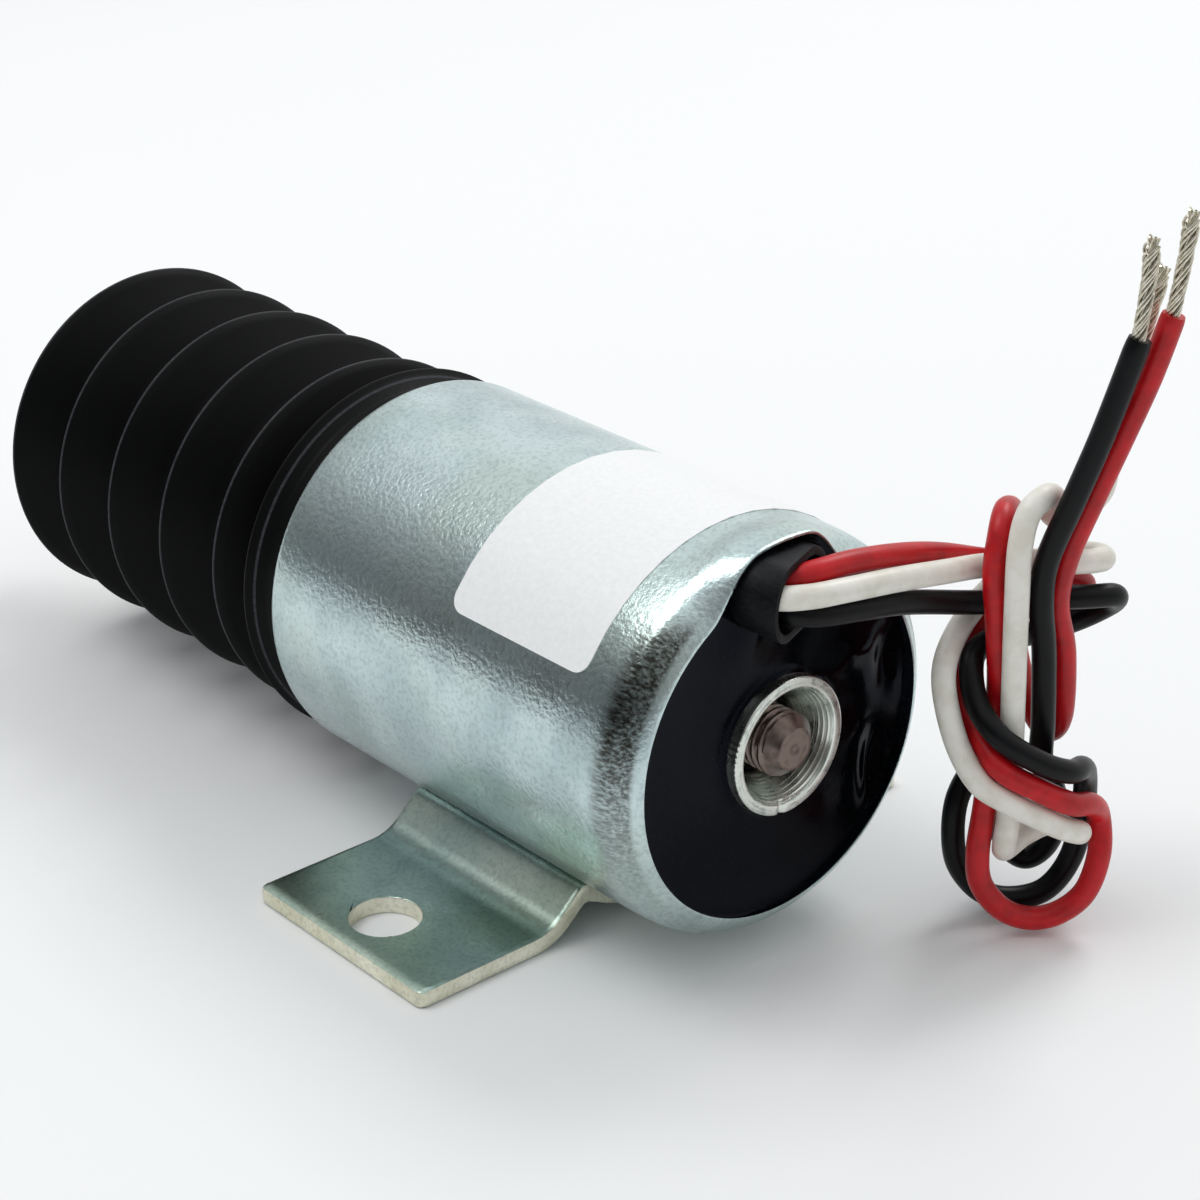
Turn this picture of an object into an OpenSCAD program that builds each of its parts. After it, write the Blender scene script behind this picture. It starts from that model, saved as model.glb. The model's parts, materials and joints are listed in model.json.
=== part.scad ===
// Push pull solenoid: a drawn steel shell with two coils, a sliding plunger
// under a rubber bellows, a push rod that leaves through the fixed core, and
// three knotted leads. Millimetres, +Z up. The body axis runs along X and the
// rod end faces +X. The origin is on the mounting face, midway between the
// two mounting holes.

/* [Body] */
// outside diameter of the steel shell
body_d = 50.8; // [38:0.1:64]
// length of the steel shell, lip to lip
body_len = 66.5; // [60:0.5:80]
// distance from the mounting holes to the rear lip
rear_reach = 34.5; // [33:0.5:40]
// wall of the steel shell
shell_wall = 1.6; // [1.2:0.1:2.4]
// radius lost where the rear lip is rolled in
lip_roll = 3.3; // [1.5:0.1:4.5]
// length of the rolled rear lip
lip_len = 4.2; // [2:0.1:6]

/* [Motion] */
// travel of the plunger and the push rod
stroke = 25.4; // [6:0.1:25.4]
// diameter of the plunger
plunger_d = 23; // [18:0.1:24]
// length of the full-diameter part of the plunger
plunger_len = 38; // [36:0.5:46]
// diameter of the plunger's front shank
shank_d = 8; // [7:0.1:12]
// diameter of the push rod
rod_d = 7.94; // [6:0.01:9]
// diameter of the front stud
stud_d = 9.52; // [8:0.01:11]
// length of the front stud
stud_len = 14; // [12:0.5:20]
// radial clearance of the plunger in its guide tube
plunger_gap = 0.08; // [0.02:0.01:0.1]
// radial clearance of the push rod in its bushing
rod_gap = 0.05; // [0.02:0.01:0.1]

/* [Dust boot] */
// number of full folds
folds = 4; // [3:1:5]
// distance between folds
fold_pitch = 12.6; // [10:0.1:14]
// outside radius of a fold
crest_r = 24.3; // [20:0.1:25.4]
// outside radius between two folds
valley_r = 17.6; // [16.5:0.1:20]
// wall of the boot
boot_wall = 1.3; // [1:0.1:2]

/* [Mounting bracket] */
// thickness of the bracket plate
plate_t = 2.3; // [1.8:0.1:3.2]
// width of the bracket along the body
plate_w = 32.5; // [24:0.5:40]
// length of a foot from its bend to its outer edge
foot_len = 17.5; // [16:0.5:24]
// distance from a mounting hole to the foot's outer edge
hole_inset = 7.3; // [6:0.1:8.5]
// diameter of a mounting hole
hole_d = 8.9; // [6:0.1:9.5]

/* [Label] */
// length of the label along the body
label_len = 24; // [12:0.5:30]
// angle that the label covers round the body
label_turn = 121; // [40:1:150]

/* [Leads] */
// outside diameter of a lead
lead_d = 2.9; // [2:0.1:3]
// diameter of a bare strand bundle
strand_d = 2; // [1.2:0.1:2.4]
// length of a bare strand bundle
strand_len = 12; // [6:0.5:16]

/* [Hidden] */
$fn = 96;

// heights and radii of the body
body_r = body_d/2;
bore_r = body_r - shell_wall;
seat_gap = 0.3;                // the feet stand this much lower than the saddle
axis_h = body_r + plate_t + seat_gap;
x_rear = rear_reach;
x_front = rear_reach - body_len;
lip_x = x_rear - lip_len;      // where the rolled lip starts
lip_r = body_r - lip_roll;     // outside radius at the lip's edge
lip_t = 1.1;                   // wall at the lip's edge

// magnetic circuit, from the rear forward
pot_x = x_rear - 0.8;          // face of the potting
collar_x = x_rear + 0.9;       // rear face of the fixed core
pot_t = 6.7;
rear_plate_t = 6;
rear_plate_x = pot_x - pot_t - rear_plate_t;
front_plate_t = 5.5;
front_plate_x = x_front + 0.8;
plunger_r = plunger_d/2;
plunger_edge = 0.6;
tube_wall = 0.8;
tube_ri = plunger_r + plunger_gap;
tube_ro = tube_ri + tube_wall;
pole_x = 8;                    // pole face of the fixed core
shim_t = 0.4;
end_gap = 0.1;
plunger_x1 = pole_x - shim_t - end_gap - stroke;   // rear face at rest
plunger_x0 = plunger_x1 - plunger_len;
rod_r = rod_d/2;
core_bore_r = rod_r + 1.03;
core_collar_r = core_bore_r + 3.6;
core_step_r = core_collar_r + 1.2;  // where the core passes the rear plate
pole_bore_r = rod_r + 2.6;
cone_len = 4.7;                // the cone that opens the core's rear bore
bush_wall = 1.6;
bush_x0 = pole_x + 1;
bush_x1 = bush_x0 + 11;
rod_x1 = collar_x + 0.8;
rod_chamfer = 1.35;
ring_t = 1;                    // stop ring and seat ring
groove = 0.7;

// coils
bob_x0 = front_plate_x + front_plate_t;
bob_x1 = rear_plate_x;
flange_t = 2;
flange_ro = bore_r - 1.4;
hub_ro = tube_ro + 1.4;
wrap_ro = flange_ro - 0.4;
hold_ro = wrap_ro - 0.5;
pull_ro = (hub_ro + hold_ro)/2;

// boot stations
collar_r = body_r - 3.9;
cuff_len = 6;
cuff_x = x_front - cuff_len;   // front edge of the cuff
tube_x0 = cuff_x - 0.6;
boot_x0 = cuff_x - 2*fold_pitch/3;  // first crest
last_crest_x = boot_x0 - folds*fold_pitch;
neck_x1 = last_crest_x - 4.5;
neck_len = 5.5;
neck_x0 = neck_x1 - neck_len;
neck_wall = 2.2;
nose_r = 8;
nose_x0 = neck_x0 - 1;
nose_x1 = neck_x1 + 3.3;

// fittings on the front stud
stud_r = stud_d/2;
pitch_r = stud_r - 0.3;        // middle of the thread, where a nut covers it
washer_t = 1.8;
washer_r = 0.8*stud_d;
nut_t = 0.55*stud_d;
nut_r = 0.866*stud_d;          // to a corner
nut_x0 = nose_x0 - washer_t - nut_t;
clamp_t = 0.8;
clamp_w = 2.8;

// return spring
spring_wire = 1.8;
spring_r = plunger_r + 0.8 + spring_wire/2;
spring_turns = 8;
seat_t = 1.6;
spring_x1 = tube_x0;
spring_x0 = nose_x1 + seat_t;

// sleeve and hood of the lead outlet
hood_c = 2.6;
hood_y = -1;
hood_z = axis_h + body_r - 5.1;
hood_r = 5.9;
hood_wall = 1.2;
hood_fade = 3.2;               // the hood starts this far before the lip
sleeve_r = hood_r - hood_wall - 0.1;
sleeve_wall = 1.2;
sleeve_long = 4.4;             // the mouth's two ends past the rear lip
sleeve_short = 0.7;
sleeve_floor = x_rear - 0.3;
wire_hole_r = 2;               // holes in the rear plate for the lead ends

// ---- small helpers ----
module along(x) { translate([x, 0, axis_h]) rotate([0, 90, 0]) children(); }
module rod(x0, x1, r) { along(x0) cylinder(h = x1 - x0, r = r); }
module ring(x0, x1, ro, ri) {
    along(x0) difference() {
        cylinder(h = x1 - x0, r = ro);
        translate([0, 0, -1]) cylinder(h = x1 - x0 + 2, r = ri);
    }
}
module turned(pts) { along(0) rotate_extrude() polygon(pts); }
module slot2d(r, c) {
    union() {
        translate([0, -c]) circle(r = r);
        translate([0, c]) circle(r = r);
        translate([-r, -c]) square([2*r, 2*c]);
    }
}
module slot_bar(x0, x1, r, c) {
    translate([x0, hood_y, hood_z]) rotate([0, 90, 0])
        linear_extrude(height = x1 - x0) slot2d(r, c);
}

// ---- swept tubes ----
function dot3(a, b) = a[0]*b[0] + a[1]*b[1] + a[2]*b[2];
function cross3(a, b) = [a[1]*b[2] - a[2]*b[1], a[2]*b[0] - a[0]*b[2], a[0]*b[1] - a[1]*b[0]];
function unit3(a) = a/norm(a);
function at_i(p, i) = p[min(max(i, 0), len(p) - 1)];
// smooth curve through the route's own points
function smooth_pt(p0, p1, p2, p3, t) =
    0.5*(2*p1 + (p2 - p0)*t + (2*p0 - 5*p1 + 4*p2 - p3)*t*t
         + (3*p1 - p0 - 3*p2 + p3)*t*t*t);
function smooth(p, n) = concat(
    [for (i = [0:len(p) - 2]) for (k = [0:n - 1])
        smooth_pt(at_i(p, i - 1), p[i], p[i + 1], at_i(p, i + 2), k/n)],
    [p[len(p) - 1]]);
function tangents(c, first) = [for (i = [0:len(c) - 1])
    i == 0 ? first : unit3(at_i(c, i + 1) - at_i(c, i - 1))];
// frames carried along the curve without twist
function carry(t, i, u) = i >= len(t) ? [] :
    let (v = unit3(u - t[i]*dot3(u, t[i]))) concat([v], carry(t, i + 1, v));
module tube(c, first, r, sides) {
    t = tangents(c, first);
    u = carry(t, 0, abs(first[2]) < 0.9 ? [0, 0, 1] : [1, 0, 0]);
    n = len(c);
    pts = [for (i = [0:n - 1]) let (w = cross3(t[i], u[i]))
        for (k = [0:sides - 1]) c[i] + r*(cos(360*k/sides)*u[i] + sin(360*k/sides)*w)];
    faces = concat(
        [[for (k = [0:sides - 1]) sides - 1 - k]],
        [for (i = [0:n - 2]) for (k = [0:sides - 1])
            let (a = i*sides + k, b = i*sides + (k + 1)%sides)
            each [[a, b, b + sides], [a, b + sides, a + sides]]],
        [[for (k = [0:sides - 1]) (n - 1)*sides + k]]);
    polyhedron(points = pts, faces = faces, convexity = 10);
}

// ---- routes of the leads ----
// The knot stands on the mounting plane behind the body. Its own frame is
// [across, toward the front, up], turned about the vertical.
knot_at = [50, 26];
knot_turn = 49;
function knot(p) = [
    knot_at[0] + p[0]*cos(knot_turn) + p[1]*sin(knot_turn),
    knot_at[1] + p[0]*sin(knot_turn) - p[1]*cos(knot_turn),
    p[2]];
// Each lead turns sideways as it leaves the sleeve; these first points are
// [along the body, across, up] from the middle of the sleeve's floor.
function leave(p) = [for (q = p) [sleeve_floor + q[0], hood_y + q[1], hood_z + q[2]]];
red_leave = [
    [0, -0.8, 1.9], [2.1, -0.3, 1.9], [3.7, 2.6, 2.4], [4.3, 7, 2.3], [4.6, 14, 1.1], [4.5, 21, -0.9]];
white_leave = [
    [0, -3.8, 0.6], [3, -3.5, 0.7], [5.7, -0.8, 1], [7.1, 4, 0.9], [7.7, 11, 0.1], [7.7, 19, -1.4]];
black_leave = [
    [0, -1.6, -1.9], [2.7, -1.3, -1.9], [5.1, 1, -2], [6.7, 6, -2.3], [7.4, 13, -3.5]];

// the knot: every lead runs across behind the upright strands, turns back,
// wraps down the front and ends in the rings and loops under and over the wraps
red_knot = [
    [-6, -8.6, 44.8], [0, -9.3, 43.6], [4, -9.4, 42.2], [6.6, -11.4, 40.2], [4.8, -13.6, 38.6],
    [-0.5, -12.6, 37.6], [-5, -9.8, 36.6],
    [-8.2, -5.8, 34.2], [-8.9, -2.2, 31], [-7.4, 0.2, 27.6], [-4.6, 4.9, 24.4], [0, 5.4, 21.7],
    [4, 4.4, 19.3], [6.8, 1.8, 17.7],
    [8.4, -0.9, 14.6], [8.5, 0.8, 10.5], [7, 1.8, 5.8], [4, 2, 3], [0.5, 2, 2.2], [-3, 2, 3.6],
    [-5.6, 1.8, 7],
    [-6.1, 1.2, 11], [-5.4, 0.2, 17], [-4.7, -0.9, 25], [-4.5, -0.8, 33], [-5.2, -0.4, 41],
    [-5.8, -0.4, 47], [-5.3, -1.4, 51.4],
    [-4.4, -4.4, 52.8], [-3.2, -8.6, 51.4], [-2.4, -13, 48.6], [-2, -16, 44.5], [-1.6, -16.2, 37.5],
    [-0.6, -13.6, 30.5], [0.8, -10, 25.2],
    [2.6, -6.8, 23.2], [3.7, -4.4, 26.5], [3.4, -3.8, 35], [2, -2.8, 42], [2.6, -1.4, 48.6],
    [4.9, -0.2, 56.5], [7.5, 0.2, 64],
    [9.9, 0.6, 71.2], [11.8, 1, 78.4]];
white_knot = [
    [-6.5, -5.2, 45.6], [0, -5.8, 45.8], [4.5, -5.8, 45.7], [7.8, -7.6, 45.2], [7.6, -10.8, 44.4],
    [4, -13.4, 43.2], [-1.6, -12.2, 41.8],
    [-6, -8.8, 39.6], [-9.3, -4, 37.4], [-11, -0.4, 34.8], [-10.8, 1.4, 31], [-9.3, 3.1, 26],
    [-7, 4.9, 22.4], [-4, 5.5, 20.4],
    [-0.8, 5.5, 18.6], [3, 4.8, 16.3], [5.6, 2.6, 14.4], [4.6, -0.4, 13.2], [2.8, -3.2, 12.3],
    [0, -3.2, 10.8], [-2.3, -1.4, 10],
    [-3, 1.2, 12], [-2.8, 2, 17], [-3, 2, 25], [-3.2, 2, 33], [-3.5, 2.2, 44], [-3.5, 2, 51],
    [-2.6, 1.2, 55],
    [-0.4, -0.8, 56.2], [1, -3.6, 54.6], [1.2, -7, 51.8], [2.8, -10.2, 49.6], [5.6, -10.4, 50.6],
    [7, -7.4, 54], [7, -4.6, 59],
    [7.4, -3.2, 64], [8.6, -2.4, 70.5]];
black_knot = [
    [-6.5, -5, 41], [0, -5.9, 41], [6, -5.9, 41.2], [9.4, -7, 40.8], [9.6, -9.6, 38.6], [6.4, -11, 36],
    [1.8, -10.4, 34.6],
    [-2.5, -7.8, 35], [-5.2, -5, 36], [-7.6, -1.8, 35.2], [-7.4, 1.7, 31.5], [-4.9, 4.9, 28.4],
    [0, 5.3, 25.2], [3.6, 4.1, 23.4],
    [5.6, 1, 22.2], [6.8, -2.6, 19], [7.2, -4.4, 14], [6.2, -4, 7.5], [3.4, -3.4, 3.2], [-0.6, -3, 2],
    [-4.6, -2.8, 3],
    [-7.6, -3, 6.5], [-8.5, -3.4, 10.8], [-8, -4.4, 15.4], [-5.8, -6.2, 18.2], [-3.2, -7.8, 15.8],
    [-2.3, -8.2, 10.5], [-1.2, -8.2, 6.6],
    [1.2, -8.2, 4.6], [3.6, -8, 6.4], [4.6, -7, 11], [3.4, -4.8, 16.6], [1.2, -1.4, 22],
    [0.9, -0.4, 28], [0.4, -0.2, 37],
    [-0.4, 0.5, 43.6], [-0.1, 0.8, 49], [2.2, 1.8, 56.7], [4.9, 2.4, 65.3], [8, 2.6, 76.2]];
red_route = concat(leave(red_leave), [for (p = red_knot) knot(p)]);
white_route = concat(leave(white_leave), [for (p = white_knot) knot(p)]);
black_route = concat(leave(black_leave), [for (p = black_knot) knot(p)]);
lead_steps = 2;

// ---- shell ----
module body_shell() color([0.72, 0.76, 0.74]) difference() {
    union() {
        turned([[bore_r, x_front + 1.2], [bore_r + 0.5, x_front], [body_r - 0.5, x_front],
                [body_r, x_front + 0.6], [body_r, lip_x], [body_r - 0.35, lip_x + 0.3*lip_len],
                [body_r - 0.4*lip_roll, lip_x + 0.62*lip_len],
                [body_r - 0.8*lip_roll, lip_x + 0.92*lip_len],
                [lip_r, x_rear], [lip_r - lip_t, x_rear],
                [bore_r - 0.8*lip_roll, lip_x + 0.8*lip_len],
                [bore_r - 0.4*lip_roll, lip_x + 0.45*lip_len], [bore_r, lip_x + 0.05]]);
        hood(lip_x - hood_fade, x_rear, 0);
    }
    slot_bar(lip_x - hood_fade - 1, x_rear + 1, hood_r - hood_wall, hood_c);
}
// the hood over the lead outlet, down to the inside of the lip's edge
module hood(x0, x1, grow) difference() {
    slot_bar(x0, x1, hood_r + grow, hood_c);
    along(x0 - 1) cylinder(h = x1 - x0 + 2, r = lip_r - lip_t - grow);
}

module front_plate() color([0.55, 0.57, 0.58])
    ring(front_plate_x, front_plate_x + front_plate_t, bore_r, tube_ro);

module boot_collar() color([0.5, 0.52, 0.53])
    turned([[tube_ro, tube_x0], [collar_r - 0.8, tube_x0],
        [collar_r, cuff_x + 0.2], [collar_r, x_front - 3.2], [collar_r - 1, x_front - 2.8],
        [collar_r - 1, x_front - 1.6], [collar_r, x_front - 1.2], [collar_r, front_plate_x],
        [tube_ro, front_plate_x]]);

module rear_plate() color([0.55, 0.57, 0.58]) difference() {
    ring(rear_plate_x, rear_plate_x + rear_plate_t, bore_r, core_step_r);
    // holes that let the lead ends through to the coils
    for (s = [-1, 1]) translate([rear_plate_x - 1, hood_y + s*1.75*wire_hole_r,
            axis_h + bore_r - 1.9*wire_hole_r])
        rotate([0, 90, 0]) cylinder(h = rear_plate_t + 2, r = wire_hole_r);
}

module fixed_core() color([0.66, 0.69, 0.66]) turned([
    [pole_bore_r, pole_x], [tube_ri - plunger_edge, pole_x], [tube_ri, pole_x + plunger_edge],
    [tube_ri, rear_plate_x], [core_step_r, rear_plate_x],
    [core_step_r, rear_plate_x + rear_plate_t],
    [core_collar_r, rear_plate_x + rear_plate_t], [core_collar_r, collar_x - 0.4],
    [core_collar_r - 0.3, collar_x], [core_collar_r - 1.25, collar_x],
    [core_collar_r - 1.45, collar_x - 0.3], [core_bore_r, collar_x - cone_len],
    [core_bore_r, bush_x1], [core_bore_r + bush_wall, bush_x1],
    [core_bore_r + bush_wall, bush_x0], [pole_bore_r, bush_x0]]);

module stop_shim() color([0.8, 0.66, 0.3])
    ring(pole_x - shim_t, pole_x, tube_ri - plunger_edge, pole_bore_r);

module rod_bushing() color([0.72, 0.52, 0.26])
    ring(bush_x0, bush_x1, core_bore_r + bush_wall, rod_r + rod_gap);

module guide_tube() color([0.78, 0.66, 0.32])
    ring(tube_x0, rear_plate_x, tube_ro, tube_ri);

module bobbin() color([0.15, 0.15, 0.16]) turned([
    [tube_ro, bob_x0], [flange_ro, bob_x0], [flange_ro, bob_x0 + flange_t],
    [hub_ro, bob_x0 + flange_t], [hub_ro, bob_x1 - flange_t],
    [flange_ro, bob_x1 - flange_t], [flange_ro, bob_x1], [tube_ro, bob_x1]]);

module pull_coil() color([0.72, 0.36, 0.16])
    ring(bob_x0 + flange_t, bob_x1 - flange_t, pull_ro, hub_ro);

module hold_coil() color([0.66, 0.3, 0.14])
    ring(bob_x0 + flange_t, bob_x1 - flange_t, hold_ro, pull_ro);

module coil_wrap() color([0.86, 0.78, 0.5])
    ring(bob_x0 + flange_t, bob_x1 - flange_t, wrap_ro, hold_ro);

module rear_potting() color([0.04, 0.045, 0.06]) difference() {
    turned([[core_collar_r, rear_plate_x + rear_plate_t], [bore_r, rear_plate_x + rear_plate_t],
            [bore_r, lip_x], [bore_r - 0.4*lip_roll, x_rear - 0.55*lip_len],
            [bore_r - 0.8*lip_roll, x_rear - 0.2*lip_len],
            [core_collar_r, pot_x]]);
    slot_bar(rear_plate_x, x_rear, sleeve_r, hood_c);
    hood(lip_x - hood_fade - 0.02, x_rear + 1, 0.02);
}

// the sleeve's mouth is cut on a slant, open toward the side where the leads go
module lead_sleeve() color([0.08, 0.085, 0.1]) intersection() {
    difference() {
        slot_bar(rear_plate_x + rear_plate_t, x_rear + sleeve_long + 1, sleeve_r, hood_c);
        slot_bar(sleeve_floor, x_rear + sleeve_long + 2, sleeve_r - sleeve_wall, hood_c);
    }
    reach = sleeve_r + hood_c + 1;
    linear_extrude(height = hood_z + reach) polygon([
        [rear_plate_x, hood_y - reach], [x_rear + sleeve_long, hood_y - reach],
        [x_rear + sleeve_long, hood_y - 5.5], [x_rear + sleeve_short, hood_y + 5],
        [x_rear + sleeve_short, hood_y + reach], [rear_plate_x, hood_y + reach]]);
}

// ---- bracket: a plate bent into a saddle with two flat feet ----
wall_slope = 42;
bend_r = 6;
foot_corner = 1.2;
foot_y = body_r - 2.9;         // where the flat of the foot starts
foot_reach = foot_y + foot_len;
hole_reach = foot_reach - hole_inset;
// the bend between foot and wall, for the face offset o below the top
function bend_pt(o, a) = [foot_y - (bend_r + o)*sin(a), plate_t + bend_r - (bend_r + o)*cos(a)];
// angle, from straight down, where the wall's face meets the saddle's face
function crest_angle(o) = let (
    b = bend_pt(o, wall_slope), q = [b[0], b[1] - axis_h], d = [-cos(wall_slope), sin(wall_slope)],
    r = body_r + 0.02 + o, m = q[0]*d[0] + q[1]*d[1],
    t = -m - sqrt(m*m - (q[0]*q[0] + q[1]*q[1] - r*r)), p = q + t*d) atan2(p[0], -p[1]);
// right half of one face, from the middle of the saddle out to the foot
function face(o) = let (r = body_r + 0.02 + o, c = crest_angle(o)) concat(
    [for (i = [0:10]) [r*sin(c*i/10), axis_h - r*cos(c*i/10)]],
    [for (i = [0:6]) bend_pt(o, wall_slope*(1 - i/6))],
    [[foot_reach, plate_t - o]]);
function mirrored(p) = [for (i = [0:len(p) - 1]) let (q = p[len(p) - 1 - i]) [-q[0], q[1]]];
function reversed(p) = [for (i = [0:len(p) - 1]) p[len(p) - 1 - i]];
function whole(o) = concat(mirrored([for (i = [1:len(face(o)) - 1]) face(o)[i]]), face(o));
module bracket2d() polygon(concat(whole(0), reversed(whole(plate_t))));
module mounting_bracket() color([0.62, 0.68, 0.62]) difference() {
    intersection() {
        translate([-plate_w/2, 0, 0]) rotate([90, 0, 90]) linear_extrude(height = plate_w) bracket2d();
        // softly cut corners of the feet
        x = plate_w/2;
        y = foot_reach;
        c = foot_corner;
        linear_extrude(height = axis_h) polygon([
            [c - x, -y], [x - c, -y], [x, c - y], [x, y - c], [x - c, y], [c - x, y],
            [-x, y - c], [-x, c - y]]);
    }
    for (s = [-1, 1]) translate([0, s*hole_reach, -1]) cylinder(h = plate_t + 2, r = hole_d/2);
}

// blank paper label, wrapped on the shell
label_t = 0.12;
label_x1 = x_rear - 9.5;
label_x0 = label_x1 - label_len;
module label_blank() color([0.95, 0.95, 0.94]) along(0)
    rotate([0, 0, -179.5 - label_turn/2]) rotate_extrude(angle = label_turn)
        polygon([[body_r, label_x0], [body_r + label_t, label_x0],
                 [body_r + label_t, label_x1], [body_r, label_x1]]);

// ---- plunger and what rides on it ----
module plunger() color([0.7, 0.72, 0.7]) turned([
    [0, nose_x0], [nose_r, nose_x0], [nose_r, nose_x1], [shank_d/2, nose_x1],
    [shank_d/2, plunger_x0], [plunger_r - plunger_edge, plunger_x0],
    [plunger_r, plunger_x0 + plunger_edge], [plunger_r, plunger_x1 - plunger_edge],
    [plunger_r - plunger_edge, plunger_x1], [0, plunger_x1]]);

// push rod, with a groove for its stop ring
stop_x = bush_x1 + end_gap;
module push_rod() color([0.6, 0.6, 0.56]) turned([
    [0, plunger_x1], [rod_r, plunger_x1], [rod_r, stop_x], [rod_r - groove, stop_x],
    [rod_r - groove, stop_x + ring_t], [rod_r, stop_x + ring_t],
    [rod_r, rod_x1 - rod_chamfer], [rod_r - rod_chamfer, rod_x1], [0, rod_x1]]);

module rod_stop_ring() color([0.3, 0.3, 0.3])
    ring(stop_x, stop_x + ring_t, core_bore_r - 0.2, rod_r - groove);

// the stud is drawn at its full diameter where it is free
module plunger_stud() color([0.7, 0.72, 0.7]) turned([
    [0, nose_x0 - stud_len], [stud_r - 1, nose_x0 - stud_len],
    [stud_r, nose_x0 - stud_len + 1], [stud_r, nut_x0 - 0.5], [pitch_r, nut_x0 - 0.2],
    [pitch_r, nose_x0], [0, nose_x0]]);

module lock_washer() color([0.5, 0.5, 0.5]) ring(nose_x0 - washer_t, nose_x0, washer_r, pitch_r);

module jam_nut() color([0.72, 0.74, 0.7]) difference() {
    along(nut_x0) cylinder(h = nut_t, r = nut_r, $fn = 6);
    along(nut_x0 - 1) cylinder(h = nut_t + 2, r = pitch_r);
}

module spring_seat() color([0.66, 0.68, 0.66])
    ring(nose_x1, nose_x1 + seat_t, spring_r + spring_wire/2 + 0.5, shank_d/2);

module seat_ring() color([0.3, 0.3, 0.3])
    ring(nose_x1 + seat_t, nose_x1 + seat_t + ring_t, shank_d/2 + 1.8, shank_d/2);

module return_spring() color([0.6, 0.6, 0.58]) {
    n = 18*spring_turns;
    a0 = spring_x0 + spring_wire/2 + 0.02;
    a1 = spring_x1 - spring_wire/2 - 0.02;
    c = [for (i = [0:n]) let (f = i/n, g = f < 0.1 ? f*f*5 : f > 0.9 ? 1 - (1 - f)*(1 - f)*5
             : 0.05 + (f - 0.1)*0.9/0.8)
         [a0 + (a1 - a0)*g, spring_r*cos(360*spring_turns*f),
          axis_h + spring_r*sin(360*spring_turns*f)]];
    tube(c, [0.01, 0, 1], spring_wire/2, 6);
}

// bellows profile: outer line from the body to the neck, then back inside
function fold_x(i) = boot_x0 - i*fold_pitch;
root_x = cuff_x - fold_pitch/3;     // the groove between the cuff and the first fold
function valley_x(i) = fold_x(i) - fold_pitch/2;
function crest_pts(x) = [[crest_r - 0.6, x + 0.9], [crest_r, x + 0.35], [crest_r, x - 0.35],
    [crest_r - 0.6, x - 0.9]];
function valley_pts(x) = [[valley_r + 1.4, x + 1.8], [valley_r, x + 0.5], [valley_r, x - 0.5],
    [valley_r + 1.4, x - 1.8]];
boot_out = concat(
    [[body_r - 0.4, x_front], [body_r - 0.3, x_front - 4.6], [body_r - 0.2, cuff_x],
     [body_r - 0.9, tube_x0], [valley_r + 2.2, cuff_x - cuff_len/2],
     [valley_r + 1.6, root_x], [valley_r + 2.4, root_x - 1.2]],
    [for (i = [0:folds]) each concat(crest_pts(fold_x(i)), i < folds ? valley_pts(valley_x(i)) : [])],
    [[nose_r + neck_wall + 1.2, neck_x1 - 0.2], [nose_r + neck_wall, neck_x1 - 0.6],
     [nose_r + neck_wall, neck_x0], [nose_r, neck_x0]]);
boot_in = concat(
    [[nose_r, neck_x1 + 1], [crest_r - boot_wall - 1.2, fold_x(folds) + 0.2]],
    [for (j = [0:folds - 1]) let (i = folds - 1 - j) each [
        [valley_r - boot_wall, valley_x(i) - 0.4], [valley_r - boot_wall, valley_x(i) + 0.4],
        [crest_r - boot_wall - 1, fold_x(i)]]],
    [[valley_r + 1.6 - boot_wall, root_x], [collar_r, cuff_x - 1.1], [collar_r, x_front]]);
module dust_boot() color([0.06, 0.06, 0.07]) turned(concat(boot_out, boot_in));

module boot_neck_clamp() color([0.68, 0.7, 0.68])
    ring(neck_x0 + 1.2, neck_x0 + 1.2 + clamp_w, nose_r + neck_wall + clamp_t,
         nose_r + neck_wall);

// ---- leads ----
module lead_red() color([0.7, 0.08, 0.1])
    tube(smooth(red_route, lead_steps), [1, 0, 0], lead_d/2, 8);
module lead_white() color([0.9, 0.89, 0.85])
    tube(smooth(white_route, lead_steps), [1, 0, 0], lead_d/2, 8);
module lead_black() color([0.08, 0.09, 0.1])
    tube(smooth(black_route, lead_steps), [1, 0, 0], lead_d/2, 8);

// Bare strands go on from the cut end of each lead, a hair clear of the
// jacket; they lean in the direction given in the knot's frame.
strand_gap = 0.35;
module strands(route, lean) {
    last = route[len(route) - 1];
    ahead = unit3(last - route[len(route) - 2]);
    d = unit3(knot(lean) - knot([0, 0, 0]));
    translate(last + strand_gap*ahead) rotate([0, acos(d[2]), atan2(d[1], d[0])])
        cylinder(h = strand_len, r = strand_d/2, $fn = 16);
}
module strands_red() color([0.75, 0.74, 0.7]) strands(red_route, [1.4, 0.3, 13]);
module strands_white() color([0.75, 0.74, 0.7]) strands(white_route, [2.6, 0.4, 13.5]);
module strands_black() color([0.75, 0.74, 0.7]) strands(black_route, [0.9, -0.2, 12.6]);

body_shell();
front_plate();
boot_collar();
rear_plate();
fixed_core();
stop_shim();
rod_bushing();
guide_tube();
bobbin();
pull_coil();
hold_coil();
coil_wrap();
rear_potting();
lead_sleeve();
mounting_bracket();
label_blank();
plunger();
push_rod();
rod_stop_ring();
plunger_stud();
lock_washer();
jam_nut();
spring_seat();
seat_ring();
return_spring();
dust_boot();
boot_neck_clamp();
lead_red();
lead_white();
lead_black();
strands_red();
strands_white();
strands_black();
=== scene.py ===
"""Looks of a push pull solenoid with a bellows, a saddle bracket and knotted leads.

Lengths are millimetres until a mesh is made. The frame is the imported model's:
X runs along the body toward the rod end, Z up from the mounting face.
"""
import json
import math

import bmesh
import bpy
import numpy as np
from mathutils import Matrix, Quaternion, Vector

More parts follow.
